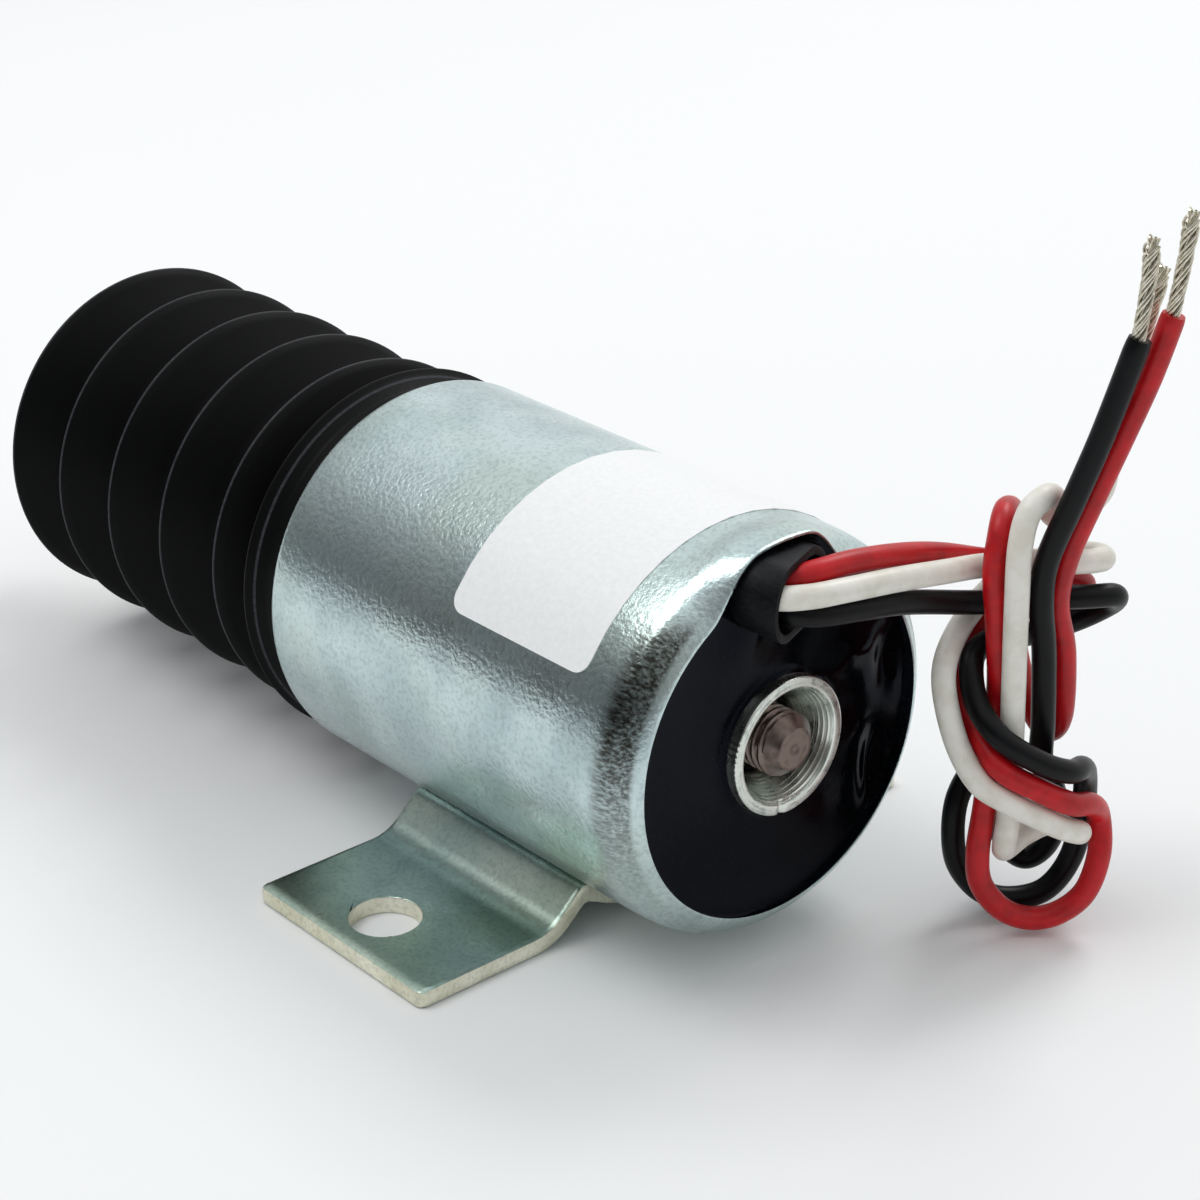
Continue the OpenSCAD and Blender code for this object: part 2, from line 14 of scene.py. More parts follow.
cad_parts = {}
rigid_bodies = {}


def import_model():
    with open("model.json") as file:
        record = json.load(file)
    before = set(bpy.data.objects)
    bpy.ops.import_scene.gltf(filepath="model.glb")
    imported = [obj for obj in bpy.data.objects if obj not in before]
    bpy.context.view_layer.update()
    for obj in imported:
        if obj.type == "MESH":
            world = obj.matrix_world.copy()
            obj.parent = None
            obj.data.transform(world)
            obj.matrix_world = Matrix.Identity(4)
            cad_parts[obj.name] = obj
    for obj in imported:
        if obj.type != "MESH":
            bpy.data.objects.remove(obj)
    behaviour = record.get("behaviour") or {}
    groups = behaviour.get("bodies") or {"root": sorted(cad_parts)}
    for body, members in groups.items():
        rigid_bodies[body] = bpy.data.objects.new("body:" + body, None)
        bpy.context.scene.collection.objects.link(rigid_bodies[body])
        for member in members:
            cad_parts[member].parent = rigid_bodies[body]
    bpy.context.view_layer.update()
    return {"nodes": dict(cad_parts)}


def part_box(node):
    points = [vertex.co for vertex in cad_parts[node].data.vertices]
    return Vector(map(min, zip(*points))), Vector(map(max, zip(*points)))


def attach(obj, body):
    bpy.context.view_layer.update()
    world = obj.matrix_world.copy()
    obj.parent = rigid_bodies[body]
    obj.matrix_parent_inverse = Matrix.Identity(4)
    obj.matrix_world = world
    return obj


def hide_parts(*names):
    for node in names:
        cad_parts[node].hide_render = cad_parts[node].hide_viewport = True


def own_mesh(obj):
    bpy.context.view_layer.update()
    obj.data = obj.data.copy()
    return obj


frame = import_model()

MM = 0.001
BODY = "body"
MOVER = "plunger_set"


# ---------------------------------------------------------------- sizes
def span(node):
    """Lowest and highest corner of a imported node, in millimetres."""
    low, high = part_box(node)
    return np.array(low) / MM, np.array(high) / MM


shell_low, shell_high = span("body_shell")
BODY_R = shell_high[1]
AXIS_H = shell_low[2] + BODY_R
X_FRONT = shell_low[0]
X_REAR = shell_high[0]
SHELL_WALL = 1.6
LIP_LEN = 4.2
LIP_ROLL = 3.3                 # how far the lip is drawn in, with the taper ahead of it
TAPER_LEN = 9
TAPER_DROP = 0.7

HOOD_RISE = 0.8                # how far the hood stands out past the shell
HOOD_TURN = np.radians([64, 83, 99, 123])   # where the hood starts, is full, and ends
HOOD_RUN = (8, 3)              # distances from the rear edge where it starts and is full
SLEEVE_Y = -1.0
SLEEVE_Z = BODY_R - 5.1
SLEEVE_R = 4.6
SLEEVE_C = 2.4
SLEEVE_WALL = 1.0
SLEEVE_OUT = 4.4               # how far its mouth stands out of the shell
MOUTH_SLOPE = 0.3
SLEEVE_LEAN = 0.06
SLEEVE_DROP = 0.03

core_low, core_high = span("fixed_core")
COLLAR_X = core_high[0]
POT_X = span("rear_potting")[1][0]
PLATE_X = span("rear_plate")[1][0]
COLLAR_R = 8.6
CORE_R = 11.6
CORE_BORE_R = 6.6
SPIGOT_R = 9.8                 # where the core passes through the rear plate
RIM_FLAT = 0.4                 # the cone starts this far inside the collar's face
CONE_TOP_R = 7.1
CONE_END_R = 5
CONE_DEEP = 4.3
rod_low, rod_high = span("push_rod")
ROD_R = rod_high[1]
BUSH_X = span("rod_bushing")[1][0]
THREAD_PITCH = 1.06            # 24 threads to the inch
THREAD_DEPTH = 0.5
BOOT_END = span("dust_boot")[0][0]


def new_object(name, data):
    """An object in the scene."""
    obj = bpy.data.objects.new(name, data)
    bpy.context.scene.collection.objects.link(obj)
    return obj


# ---------------------------------------------------------------- numbers to meshes
def blend_step(low, high, x):
    """0 below low, 1 above high, and the smooth curve 3t^2 - 2t^3 between."""
    t = np.clip((x - low) / (high - low), 0, 1)
    return t * t * (3 - 2 * t)


def meshed(points, wrap_rows=True, wrap_cols=True):
    """A grid of points and the four-cornered faces between its neighbours, closed
    round where asked."""
    rows, cols = points.shape[:2]
    r = np.arange(rows if wrap_rows else rows - 1)
    c = np.arange(cols if wrap_cols else cols - 1)
    i, j = (k.ravel() for k in np.meshgrid(r, c, indexing="ij"))
    i2 = (i + 1) % rows
    j2 = (j + 1) % cols
    return points, np.stack([i * cols + j, i * cols + j2, i2 * cols + j2, i2 * cols + j], axis=1)


def finish_piece(obj, name, material, body, node):
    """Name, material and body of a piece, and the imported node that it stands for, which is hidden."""
    obj.name = name
    obj.data.materials.append(material)
    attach(obj, body)
    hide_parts(node)
    return obj


def add_piece(name, grid, material, body, node, crease=35):
    """One mesh from its points in millimetres and its faces: doubles merged, faces
    turned outward, shaded smooth up to the crease angle in degrees."""
    points, faces = grid
    mesh = bpy.data.meshes.new(name)
    mesh.from_pydata((points.reshape(-1, 3) * MM).tolist(), [], faces.tolist())
    work = bmesh.new()
    work.from_mesh(mesh)
    bmesh.ops.remove_doubles(work, verts=work.verts, dist=1e-7)
    bmesh.ops.dissolve_degenerate(work, edges=work.edges, dist=1e-7)
    bmesh.ops.recalc_face_normals(work, faces=work.faces)
    work.to_mesh(mesh)
    work.free()
    mesh.shade_smooth()
    mesh.set_sharp_from_angle(angle=math.radians(crease))
    return finish_piece(new_object(name, mesh), name, material, body, node)


def around(x, r, turn):
    """Points at distance r from the body's axis and angle turn from +Y toward +Z."""
    x, r, turn = np.broadcast_arrays(x, r, turn)
    return np.stack([x, r * np.cos(turn), AXIS_H + r * np.sin(turn)], axis=-1)


def full_turn(count):
    """count angles round a circle, in radians."""
    return np.arange(count) * (2 * math.pi / count)


def rounded(profile, radius, steps=5):
    """A closed (x, r) outline with each corner replaced by a quadratic curve that
    starts radius before the corner and ends radius after it."""
    p = np.array(profile, float)
    before = np.roll(p, 1, axis=0) - p
    after = np.roll(p, -1, axis=0) - p
    long_before = np.linalg.norm(before, axis=1, keepdims=True)
    long_after = np.linalg.norm(after, axis=1, keepdims=True)
    cut = np.minimum(radius, 0.45 * np.minimum(long_before, long_after))
    a = p + before / long_before * cut
    b = p + after / long_after * cut
    t = np.linspace(0, 1, steps)[None, :, None]
    curve = (1 - t) ** 2 * a[:, None] + 2 * t * (1 - t) * p[:, None] + t * t * b[:, None]
    return curve.reshape(-1, 2)


def turned(profile, count=192):
    """A closed (x, r) outline carried once round the body's axis."""
    p = np.asarray(profile, float)
    turn = full_turn(count)
    return meshed(around(p[:, None, 0], p[:, None, 1], turn[None, :]))


def smooth_route(points, steps):
    """A Catmull-Rom curve through the points: each piece is the cubic
    0.5 (2 b + (c - a) t + (2 a - 5 b + 4 c - d) t^2 + (3 b - a - 3 c + d) t^3)."""
    p = np.array(points, float)
    padded = np.concatenate([p[:1], p, p[-1:]])
    a, b, c, d = padded[:-3, None], padded[1:-2, None], padded[2:-1, None], padded[3:, None]
    t = (np.arange(steps) / steps)[None, :, None]
    curve = 0.5 * (2 * b + (c - a) * t + (2 * a - 5 * b + 4 * c - d) * t ** 2
                   + (3 * b - a - 3 * c + d) * t ** 3)
    return np.concatenate([curve.reshape(-1, 3), p[-1:]])


def add_wires(name, lines, radii, material, body, node, sides=6):
    """Round wires, one open line of points each, in one curve."""
    curve = bpy.data.curves.new(name, "CURVE")
    curve.dimensions = "3D"
    curve.bevel_depth = MM
    curve.bevel_resolution = sides
    curve.use_fill_caps = True
    for line, radius in zip(lines, radii):
        spline = curve.splines.new("POLY")
        spline.points.add(len(line) - 1)
        flat = np.concatenate([line * MM, np.ones((len(line), 1))], axis=1)
        spline.points.foreach_set("co", flat.ravel())
        spline.points.foreach_set("radius", np.broadcast_to(radius, len(line)).astype(float))
        spline.use_smooth = True
    return finish_piece(new_object(name, curve), name, material, body, node)


# ---------------------------------------------------------------- materials
def hex_colour(value):
    """An sRGB hex colour as linear red, green, blue and alpha."""
    parts = np.array([int(value[k:k + 2], 16) for k in (1, 3, 5)]) / 255
    linear = np.where(parts <= 0.04045, parts / 12.92, ((parts + 0.055) / 1.055) ** 2.4)
    return (*linear.tolist(), 1.0)


def per_mm(size):
    """Scale of a pattern whose features are size millimetres wide."""
    return 1 / (size * MM)


def fill(tree, node, inputs):
    """Link an input to a socket or to a node's first output, or give it a constant,
    of which colours may be sRGB hex."""
    for key, value in inputs.items():
        if isinstance(value, bpy.types.Node):
            value = value.outputs[0]
        if isinstance(value, bpy.types.NodeSocket):
            tree.links.new(value, node.inputs[key])
        else:
            node.inputs[key].default_value = hex_colour(value) if isinstance(value, str) else value


def add(tree, kind, inputs, stops=None, **settings):
    """Add a node, set its properties and ramp stops, and fill its inputs."""
    node = tree.nodes.new(kind)
    for key, value in settings.items():
        setattr(node, key, value)
    if stops:
        ramp = node.color_ramp
        for k, (place, colour) in enumerate(stops):
            stop = ramp.elements[k] if k < 2 else ramp.elements.new(place)
            stop.position = place
            stop.color = hex_colour(colour) if isinstance(colour, str) else (*[colour] * 3, 1)
    fill(tree, node, inputs)
    return node


def new_material(name, colour="#808080", **surface):
    """A material with its Principled shader; surface gives constant inputs."""
    material = bpy.data.materials.new(name)
    material.use_nodes = True
    tree = material.node_tree
    tree.nodes.clear()
    inputs = {key.replace("_", " "): value for key, value in surface.items()}
    shader = add(tree, "ShaderNodeBsdfPrincipled", {"Base Color": colour, **inputs})
    add(tree, "ShaderNodeOutputMaterial", {"Surface": shader})
    place = add(tree, "ShaderNodeTexCoord", {}).outputs["Object"]
    return material, tree, shader, place


def dress(tree, shader, colour, rough, height, depth_mm, strength):
    """Give the shader its colour, its roughness where one is made, and a relief that
    is depth_mm deep at full height."""
    relief = add(tree, "ShaderNodeBump",
                 {"Height": height, "Distance": depth_mm * MM, "Strength": strength})
    fill(tree, shader, {"Base Color": colour, "Normal": relief})
    if rough:
        fill(tree, shader, {"Roughness": rough})


def mottle(tree, shader, place, size, stops, relief, rough=None, **noise):
    """One noise, size millimetres wide, drives the colour through its stops, the
    relief through its depth and strength and, where a pair is given, the roughness."""
    pattern = add(tree, "ShaderNodeTexNoise", {"Vector": place, "Scale": per_mm(size), **noise})
    tone = add(tree, "ShaderNodeValToRGB", {"Fac": pattern}, stops)
    if rough:
        rough = add(tree, "ShaderNodeMapRange",
                    {"Value": pattern, "To Min": rough[0], "To Max": rough[1]})
    dress(tree, shader, tone, rough, pattern, *relief)


def scuffs_and_painted_reflection(tree, place, colour):
    """Roller scuffs on the turned-in lip, which also serve as a painted dark reflection: short brown
    lines along the body that fade toward its straight part, its edge, its top and its foot."""
    apart = add(tree, "ShaderNodeSeparateXYZ", {"Vector": place})
    along = add(tree, "ShaderNodeMapping", {"Vector": place, "Scale": (0.14, 1.0, 1.0)})
    marks = add(tree, "ShaderNodeTexNoise", {"Vector": along, "Scale": per_mm(0.4),
                                             "Detail": 4.0, "Roughness": 0.65})
    share = add(tree, "ShaderNodeMapRange",
                {"Value": marks, "From Min": 0.66, "From Max": 0.42, "To Min": 0.25, "To Max": 0.95})
    for axis, start, end, low in (("X", X_REAR - 6.2, X_REAR - 3.6, 0.0),
                                  ("X", X_REAR - 0.5, X_REAR - 1.1, 0.0),
                                  ("Z", AXIS_H + 20.5, AXIS_H + 17.5, 0.0),
                                  ("Z", AXIS_H - 20, AXIS_H + 9, 0.12)):
        fade = add(tree, "ShaderNodeMapRange",
                   {"Value": apart.outputs[axis], "From Min": start * MM, "From Max": end * MM,
                    "To Min": low}, interpolation_type="SMOOTHSTEP")
        share = add(tree, "ShaderNodeMath", {0: share, 1: fade}, operation="MULTIPLY")
    # the brown mixed in is partly scuff colour and partly a painted dark reflection
    return add(tree, "ShaderNodeMix", {"Factor": share, 6: colour, 7: "#3A372E"},
               data_type="RGBA").outputs[2]


def zinc_plate(name, dark, light, warm, rolled_edge=False, grain_mm=0.6, depth_mm=0.08,
               metallic=1.0):
    """Zinc-plated steel with a clear passivate: a satin mirror whose crystal grains,
    about half a millimetre wide, break up the edges of what it reflects."""
    material, tree, shader, place = new_material(name, light, Metallic=metallic)
    grain = add(tree, "ShaderNodeTexNoise",
                {"Vector": place, "Scale": per_mm(grain_mm), "Detail": 2.0, "Roughness": 0.5})
    patch = add(tree, "ShaderNodeTexNoise",
                {"Vector": place, "Scale": per_mm(9), "Detail": 3.0, "Roughness": 0.55})
    tone = add(tree, "ShaderNodeValToRGB", {"Fac": patch}, [(0.38, dark), (0.6, light)])
    speck = add(tree, "ShaderNodeMapRange",
                {"Value": grain, "From Min": 0.36, "From Max": 0.52, "To Min": 0.86, "To Max": 1.02})
    cloud = add(tree, "ShaderNodeTexNoise",
                {"Vector": place, "Scale": per_mm(16), "Detail": 1.0, "W": 3.0},
                noise_dimensions="4D")
    cloud_share = add(tree, "ShaderNodeMapRange",
                      {"Value": cloud, "From Min": 0.42, "From Max": 0.62, "To Max": 0.5})
    tint = add(tree, "ShaderNodeMix", {"Factor": cloud_share, 6: tone, 7: warm},
               data_type="RGBA", blend_type="MULTIPLY")
    colour = add(tree, "ShaderNodeVectorMath", {0: tint.outputs[2], "Scale": speck},
                 operation="SCALE")
    rough = add(tree, "ShaderNodeMapRange",
                {"Value": patch, "From Min": 0.3, "From Max": 0.7, "To Min": 0.33, "To Max": 0.25})
    if rolled_edge:
        # painted dark reflection and roller scuffs on the lip
        colour = scuffs_and_painted_reflection(tree, place, colour)
    dress(tree, shader, colour, rough, grain, depth_mm, 0.8)
    return material


def axis_distance(tree, place):
    """How far a point lies from the body's axis."""
    off_axis = add(tree, "ShaderNodeMapping", {"Vector": place, "Location": (0, 0, -AXIS_H * MM),
                                               "Scale": (0, 1, 1)})
    return add(tree, "ShaderNodeVectorMath", {0: off_axis}, operation="LENGTH").outputs["Value"]


def moulded_rubber():
    """Black moulded rubber: deep and nearly matte, with a thin grey line painted on each crest as a
    highlight and as rubbed wear, broken up by grain.
    """
    material, tree, shader, place = new_material("moulded rubber", "#040506",
                                                 Specular_IOR_Level=0.11)
    grain = add(tree, "ShaderNodeTexNoise",
                {"Vector": place, "Scale": per_mm(0.5), "Detail": 3.0, "Roughness": 0.6})
    # a painted highlight line on each crest, also standing for rubbed wear
    crest_highlight_and_wear = add(tree, "ShaderNodeMath", {0: axis_distance(tree, place), 1: CREST_R * MM,
                                        2: CREST_HIGHLIGHT_WEAR_BAND * MM}, operation="COMPARE")
    highlight_and_wear_spots = add(tree, "ShaderNodeMath", {0: crest_highlight_and_wear, 1: grain}, operation="MULTIPLY")
    colour = add(tree, "ShaderNodeMix", {"Factor": highlight_and_wear_spots, 6: "#040506", 7: "#4A4C52"},
                 data_type="RGBA")
    rough = add(tree, "ShaderNodeMapRange", {"Value": grain, "To Min": 0.42, "To Max": 0.6})
    dress(tree, shader, colour.outputs[2], rough, grain, 0.03, 0.6)
    return material


def sleeve_rubber():
    """Extruded rubber sleeving: satin black with fine lengthwise grain."""
    material, tree, shader, place = new_material("extruded sleeve rubber", "#111317",
                                                 Specular_IOR_Level=0.16, Roughness=0.5)
    along = add(tree, "ShaderNodeMapping", {"Vector": place, "Scale": (0.2, 1, 1)})
    mottle(tree, shader, along, 0.35, ((0.35, "#050608"), (0.7, "#14161A")), (0.02, 0.5),
           Detail=3.0)
    return material


def poured_epoxy():
    """Black potting resin: poured, so glassy, with slow waves and a little haze."""
    material, tree, shader, place = new_material("poured epoxy", "#020304", IOR=1.5,
                                                 Specular_IOR_Level=0.085, Specular_Tint="#C4D2FF")
    haze = add(tree, "ShaderNodeTexNoise",
               {"Vector": place, "Scale": per_mm(5), "Detail": 4.0, "Roughness": 0.6})
    rough = add(tree, "ShaderNodeMapRange",
                {"Value": haze, "From Min": 0.35, "From Max": 0.7, "To Min": 0.07, "To Max": 0.2})
    dust = add(tree, "ShaderNodeTexNoise", {"Vector": place, "Scale": per_mm(0.3), "Detail": 2.0})
    tone = add(tree, "ShaderNodeValToRGB", {"Fac": dust}, [(0.5, "#020304"), (0.8, "#0D0F14")])
    dress(tree, shader, tone, rough, haze, 0.08, 0.6)
    return material


def lead_jacket(name, base, shade, specular=0.5):
    """Extruded PVC insulation: soft gloss, slightly uneven, dulled by handling."""
    material, tree, shader, place = new_material(name, base, Specular_IOR_Level=specular)
    mottle(tree, shader, place, 3, ((0.35, shade), (0.6, base)), (0.05, 0.5), (0.3, 0.46),
           Detail=4.0, Roughness=0.6)
    return material


def label_film():
    """Blank label stock: white coated film with a soft, even gloss."""
    material, tree, shader, place = new_material("label film", "#F3F4F4")
    mottle(tree, shader, place, 0.6, ((0.3, "#F1F3F3"), (0.7, "#F8F9F9")), (0.01, 0.4),
           (0.3, 0.42), Detail=3.0)
    return material


def turned_steel(name, dark, light, line_mm=0.3, roughness=(0.2, 0.36), stops=(0.8, 1.0)):
    """Lathe-turned steel: rings cut by the tool round the body's axis."""
    material, tree, shader, place = new_material(name, light, Metallic=1.0)
    # the distance from the axis and the place along it both step the ring pattern
    apart = add(tree, "ShaderNodeSeparateXYZ", {"Vector": place})
    cut = add(tree, "ShaderNodeMath", {0: axis_distance(tree, place), 1: apart.outputs["X"]},
              operation="ADD")
    rings = add(tree, "ShaderNodeTexNoise", {"W": cut, "Scale": per_mm(line_mm), "Detail": 3.0},
                noise_dimensions="1D")
    stain = add(tree, "ShaderNodeTexNoise", {"Vector": place, "Scale": per_mm(1.6), "Detail": 4.0})
    both = add(tree, "ShaderNodeMath", {0: rings, 1: stain}, operation="ADD")
    tone = add(tree, "ShaderNodeValToRGB", {"Fac": both}, [(stops[0], dark), (stops[1], light)])
    rough = add(tree, "ShaderNodeMapRange",
                {"Value": stain, "To Min": roughness[0], "To Max": roughness[1]})
    dress(tree, shader, tone, rough, rings, 0.025, 0.6)
    return material


def plain_finish(name, dark, light, grain_mm, roughness, metallic=0.0):
    """Inner parts: a finish with the grain that its making leaves."""
    material, tree, shader, place = new_material(name, light, Metallic=metallic,
                                                 Roughness=roughness)
    mottle(tree, shader, place, grain_mm, ((0.35, dark), (0.65, light)), (0.02, 0.5), Detail=3.0)
    return material


# ---------------------------------------------------------------- camera
CAMERA_AT = Vector((232.3, -199.9, 179.8)) * MM
CAMERA_AIM = Vector((0.59, 1.5, 33.94)) * MM
CAMERA_ROLL = -0.42            # degrees
CAMERA_LENS = 82.9

camera_data = bpy.data.cameras.new("camera")
camera_data.lens = CAMERA_LENS
camera_data.sensor_width = 36
camera_data.clip_start = 0.01
camera = new_object("camera", camera_data)
camera.location = CAMERA_AT
camera.rotation_mode = "QUATERNION"
camera.rotation_quaternion = ((CAMERA_AIM - CAMERA_AT).to_track_quat("-Z", "Y")
                              @ Quaternion((0, 0, 1), math.radians(CAMERA_ROLL)))
bpy.context.scene.camera = camera

# ---------------------------------------------------------------- leads
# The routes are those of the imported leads. The knot's own frame is across,
# toward the front and up, turned about the vertical.
KNOT_AT = (50, 26)
KNOT_TURN = math.radians(49)
SLEEVE_FLOOR = np.array([X_REAR - 0.3, SLEEVE_Y, AXIS_H + SLEEVE_Z])
LEAD_D = 2.9
BARE_WIRE_R = 0.17
OUTER_WIRES = 10
GOLDEN_TURN = 2.39996          # spreads the wires evenly round the bundle

LEAVE = {
    "red": [(0, -0.8, 1.9), (2.1, -0.3, 1.9), (3.7, 2.6, 2.4), (4.3, 7, 2.3), (4.6, 14, 1.1),
            (4.5, 21, -0.9)],
    "white": [(0, -3.8, 0.6), (3, -3.5, 0.7), (5.7, -0.8, 1), (7.1, 4, 0.9), (7.7, 11, 0.1),
              (7.7, 19, -1.4)],
    "black": [(0, -1.6, -1.9), (2.7, -1.3, -1.9), (5.1, 1, -2), (6.7, 6, -2.3),
              (7.4, 13, -3.5)],
}
KNOT = {
    "red": [
        (-6, -8.6, 44.8), (0, -9.3, 43.6), (4, -9.4, 42.2), (6.6, -11.4, 40.2),
        (4.8, -13.6, 38.6), (-0.5, -12.6, 37.6), (-5, -9.8, 36.6), (-8.2, -5.8, 34.2),
        (-8.9, -2.2, 31), (-7.4, 0.2, 27.6), (-4.6, 4.9, 24.4), (0, 5.4, 21.7),
        (4, 4.4, 19.3), (6.8, 1.8, 17.7), (8.4, -0.9, 14.6), (8.5, 0.8, 10.5), (7, 1.8, 5.8),
        (4, 2, 3), (0.5, 2, 2.2), (-3, 2, 3.6), (-5.6, 1.8, 7), (-6.1, 1.2, 11),
        (-5.4, 0.2, 17), (-4.7, -0.9, 25), (-4.5, -0.8, 33), (-5.2, -0.4, 41),
        (-5.8, -0.4, 47), (-5.3, -1.4, 51.4), (-4.4, -4.4, 52.8), (-3.2, -8.6, 51.4),
        (-2.4, -13, 48.6), (-2, -16, 44.5), (-1.6, -16.2, 37.5), (-0.6, -13.6, 30.5),
        (0.8, -10, 25.2), (2.6, -6.8, 23.2), (3.7, -4.4, 26.5), (3.4, -3.8, 35),
        (2, -2.8, 42), (2.6, -1.4, 48.6), (4.9, -0.2, 56.5), (7.5, 0.2, 64),
        (9.9, 0.6, 71.2), (11.8, 1, 78.4)],
    "white": [
        (-6.5, -5.2, 45.6), (0, -5.8, 45.8), (4.5, -5.8, 45.7), (7.8, -7.6, 45.2),
        (7.6, -10.8, 44.4), (4, -13.4, 43.2), (-1.6, -12.2, 41.8), (-6, -8.8, 39.6),
        (-9.3, -4, 37.4), (-11, -0.4, 34.8), (-10.8, 1.4, 31), (-9.3, 3.1, 26),
        (-7, 4.9, 22.4), (-4, 5.5, 20.4), (-0.8, 5.5, 18.6), (3, 4.8, 16.3),
        (5.6, 2.6, 14.4), (4.6, -0.4, 13.2), (2.8, -3.2, 12.3), (0, -3.2, 10.8),
        (-2.3, -1.4, 10), (-3, 1.2, 12), (-2.8, 2, 17), (-3, 2, 25), (-3.2, 2, 33),
        (-3.5, 2.2, 44), (-3.5, 2, 51), (-2.6, 1.2, 55), (-0.4, -0.8, 56.2), (1, -3.6, 54.6),
        (1.2, -7, 51.8), (2.8, -10.2, 49.6), (5.6, -10.4, 50.6), (7, -7.4, 54),
        (7, -4.6, 59), (7.4, -3.2, 64), (8.6, -2.4, 70.5)],
    "black": [
        (-6.5, -5, 41), (0, -5.9, 41), (6, -5.9, 41.2), (9.4, -7, 40.8), (9.6, -9.6, 38.6),
        (6.4, -11, 36), (1.8, -10.4, 34.6), (-2.5, -7.8, 35), (-5.2, -5, 36),
        (-7.6, -1.8, 35.2), (-7.4, 1.7, 31.5), (-4.9, 4.9, 28.4), (0, 5.3, 25.2),
        (3.6, 4.1, 23.4), (5.6, 1, 22.2), (6.8, -2.6, 19), (7.2, -4.4, 14), (6.2, -4, 7.5),
        (3.4, -3.4, 3.2), (-0.6, -3, 2), (-4.6, -2.8, 3), (-7.6, -3, 6.5),
        (-8.5, -3.4, 10.8), (-8, -4.4, 15.4), (-5.8, -6.2, 18.2), (-3.2, -7.8, 15.8),
        (-2.3, -8.2, 10.5), (-1.2, -8.2, 6.6), (1.2, -8.2, 4.6), (3.6, -8, 6.4),
        (4.6, -7, 11), (3.4, -4.8, 16.6), (1.2, -1.4, 22), (0.9, -0.4, 28),
        (0.4, -0.2, 37), (-0.4, 0.5, 43.6), (-0.1, 0.8, 49), (2.2, 1.8, 56.7),
        (4.9, 2.4, 65.3), (8, 2.6, 76.2)],
}
# how far each bare end reaches from its jacket, in the knot's frame
STRAND_REACH = {"red": (1.4, 0.3, 13), "white": (2.6, 0.4, 13.5), "black": (0.9, -0.2, 12.6)}


def knot_to_frame(points):
    """Points of the knot's frame in the object's frame."""
    p = np.array(points, float)
    x = KNOT_AT[0] + p[:, 0] * math.cos(KNOT_TURN) + p[:, 1] * math.sin(KNOT_TURN)
    y = KNOT_AT[1] + p[:, 0] * math.sin(KNOT_TURN) - p[:, 1] * math.cos(KNOT_TURN)
    return np.stack([x, y, p[:, 2]], axis=1)


def lead_line(colour, steps=10):
    """The centre line of one lead, in millimetres."""
    leave = SLEEVE_FLOOR + np.array(LEAVE[colour], float)
    return smooth_route(np.concatenate([leave, knot_to_frame(KNOT[colour])]), steps)


def strand_lines(colour, line, wires=16, bundle=0.72, twists=1.6):
    """Tinned wires twisted round a bundle that bends away from the lead's end:
    a helix about a curved middle line, opening out toward the tip."""
    end = line[-1]
    ahead = line[-1] - line[-4]
    ahead = ahead / np.linalg.norm(ahead)
    reach = knot_to_frame([STRAND_REACH[colour]])[0] - knot_to_frame([(0, 0, 0)])[0]
    t = np.linspace(0, 1, 26)[:, None]
    middle = end + ahead * (-1.2 + t * 4 * (1 - t)) + reach * t ** 1.15
    side = np.cross(reach, [0.3, 0.9, 0.1])
    side = side / np.linalg.norm(side)
    other = np.cross(reach, side) / np.linalg.norm(reach)
    place = np.arange(wires)
    ring = np.where(place < OUTER_WIRES, 1.0, 0.45)
    phase = place * GOLDEN_TURN
    lines = []
    for k in range(wires):
        turn = phase[k] + twists * 2 * math.pi * t
        width = bundle * ring[k] * (0.95 + 0.5 * t ** 3 * math.sin(phase[k] * 3) ** 2)
        length = 0.93 + 0.07 * math.cos(phase[k] * 5)
        wire = middle + width * (np.cos(turn) * side + np.sin(turn) * other)
        lines.append(wire[: int(round(len(t) * length))])
    return lines


red_pvc = lead_jacket("red PVC", "#C40E18", "#A80B14", 0.35)
white_pvc = lead_jacket("ivory PVC", "#ECEAE1", "#DEDACD")
black_pvc = lead_jacket("black PVC", "#0A0B0E", "#050608", 0.2)
tinned_copper = plain_finish("tinned copper", "#C9C2AE", "#F0ECDD", 0.5, 0.34, 1.0)

for colour, jacket in (("red", red_pvc), ("white", white_pvc), ("black", black_pvc)):
    line = lead_line(colour)
    # the cut end of the jacket is drawn in a little by the stripper
    radius = np.full(len(line), LEAD_D / 2)
    radius[-2:] *= (0.97, 0.9)
    lead = add_wires(f"{colour}_lead", [line], [radius], jacket, BODY, f"lead_{colour}",
                     sides=8)
    wires = strand_lines(colour, line)
    bare = add_wires(f"{colour}_bare_strands", wires, [BARE_WIRE_R] * len(wires), tinned_copper, BODY,
                     f"strands_{colour}", sides=2)


# ---------------------------------------------------------------- shell
def shell_radius(x, turn):
    """Outer radius of the shell: a cylinder that tapers slightly and then rolls in,
    both by parabolas, except where the hood holds it out over the leads: there the
    radius climbs to the hood's by a smooth step on each side."""
    t = np.clip((x - (X_REAR - LIP_LEN)) / LIP_LEN, 0, 1)
    eased = np.clip((x - (X_REAR - TAPER_LEN)) / TAPER_LEN, 0, 1)
    rolled = BODY_R - (LIP_ROLL - TAPER_DROP) * t ** 2 - TAPER_DROP * eased ** 2
    held = (blend_step(HOOD_TURN[0], HOOD_TURN[1], turn)
            * (1 - blend_step(HOOD_TURN[2], HOOD_TURN[3], turn)))
    risen = blend_step(X_REAR - HOOD_RUN[0], X_REAR - HOOD_RUN[1], x)
    return rolled + (BODY_R + HOOD_RISE - rolled) * held * risen


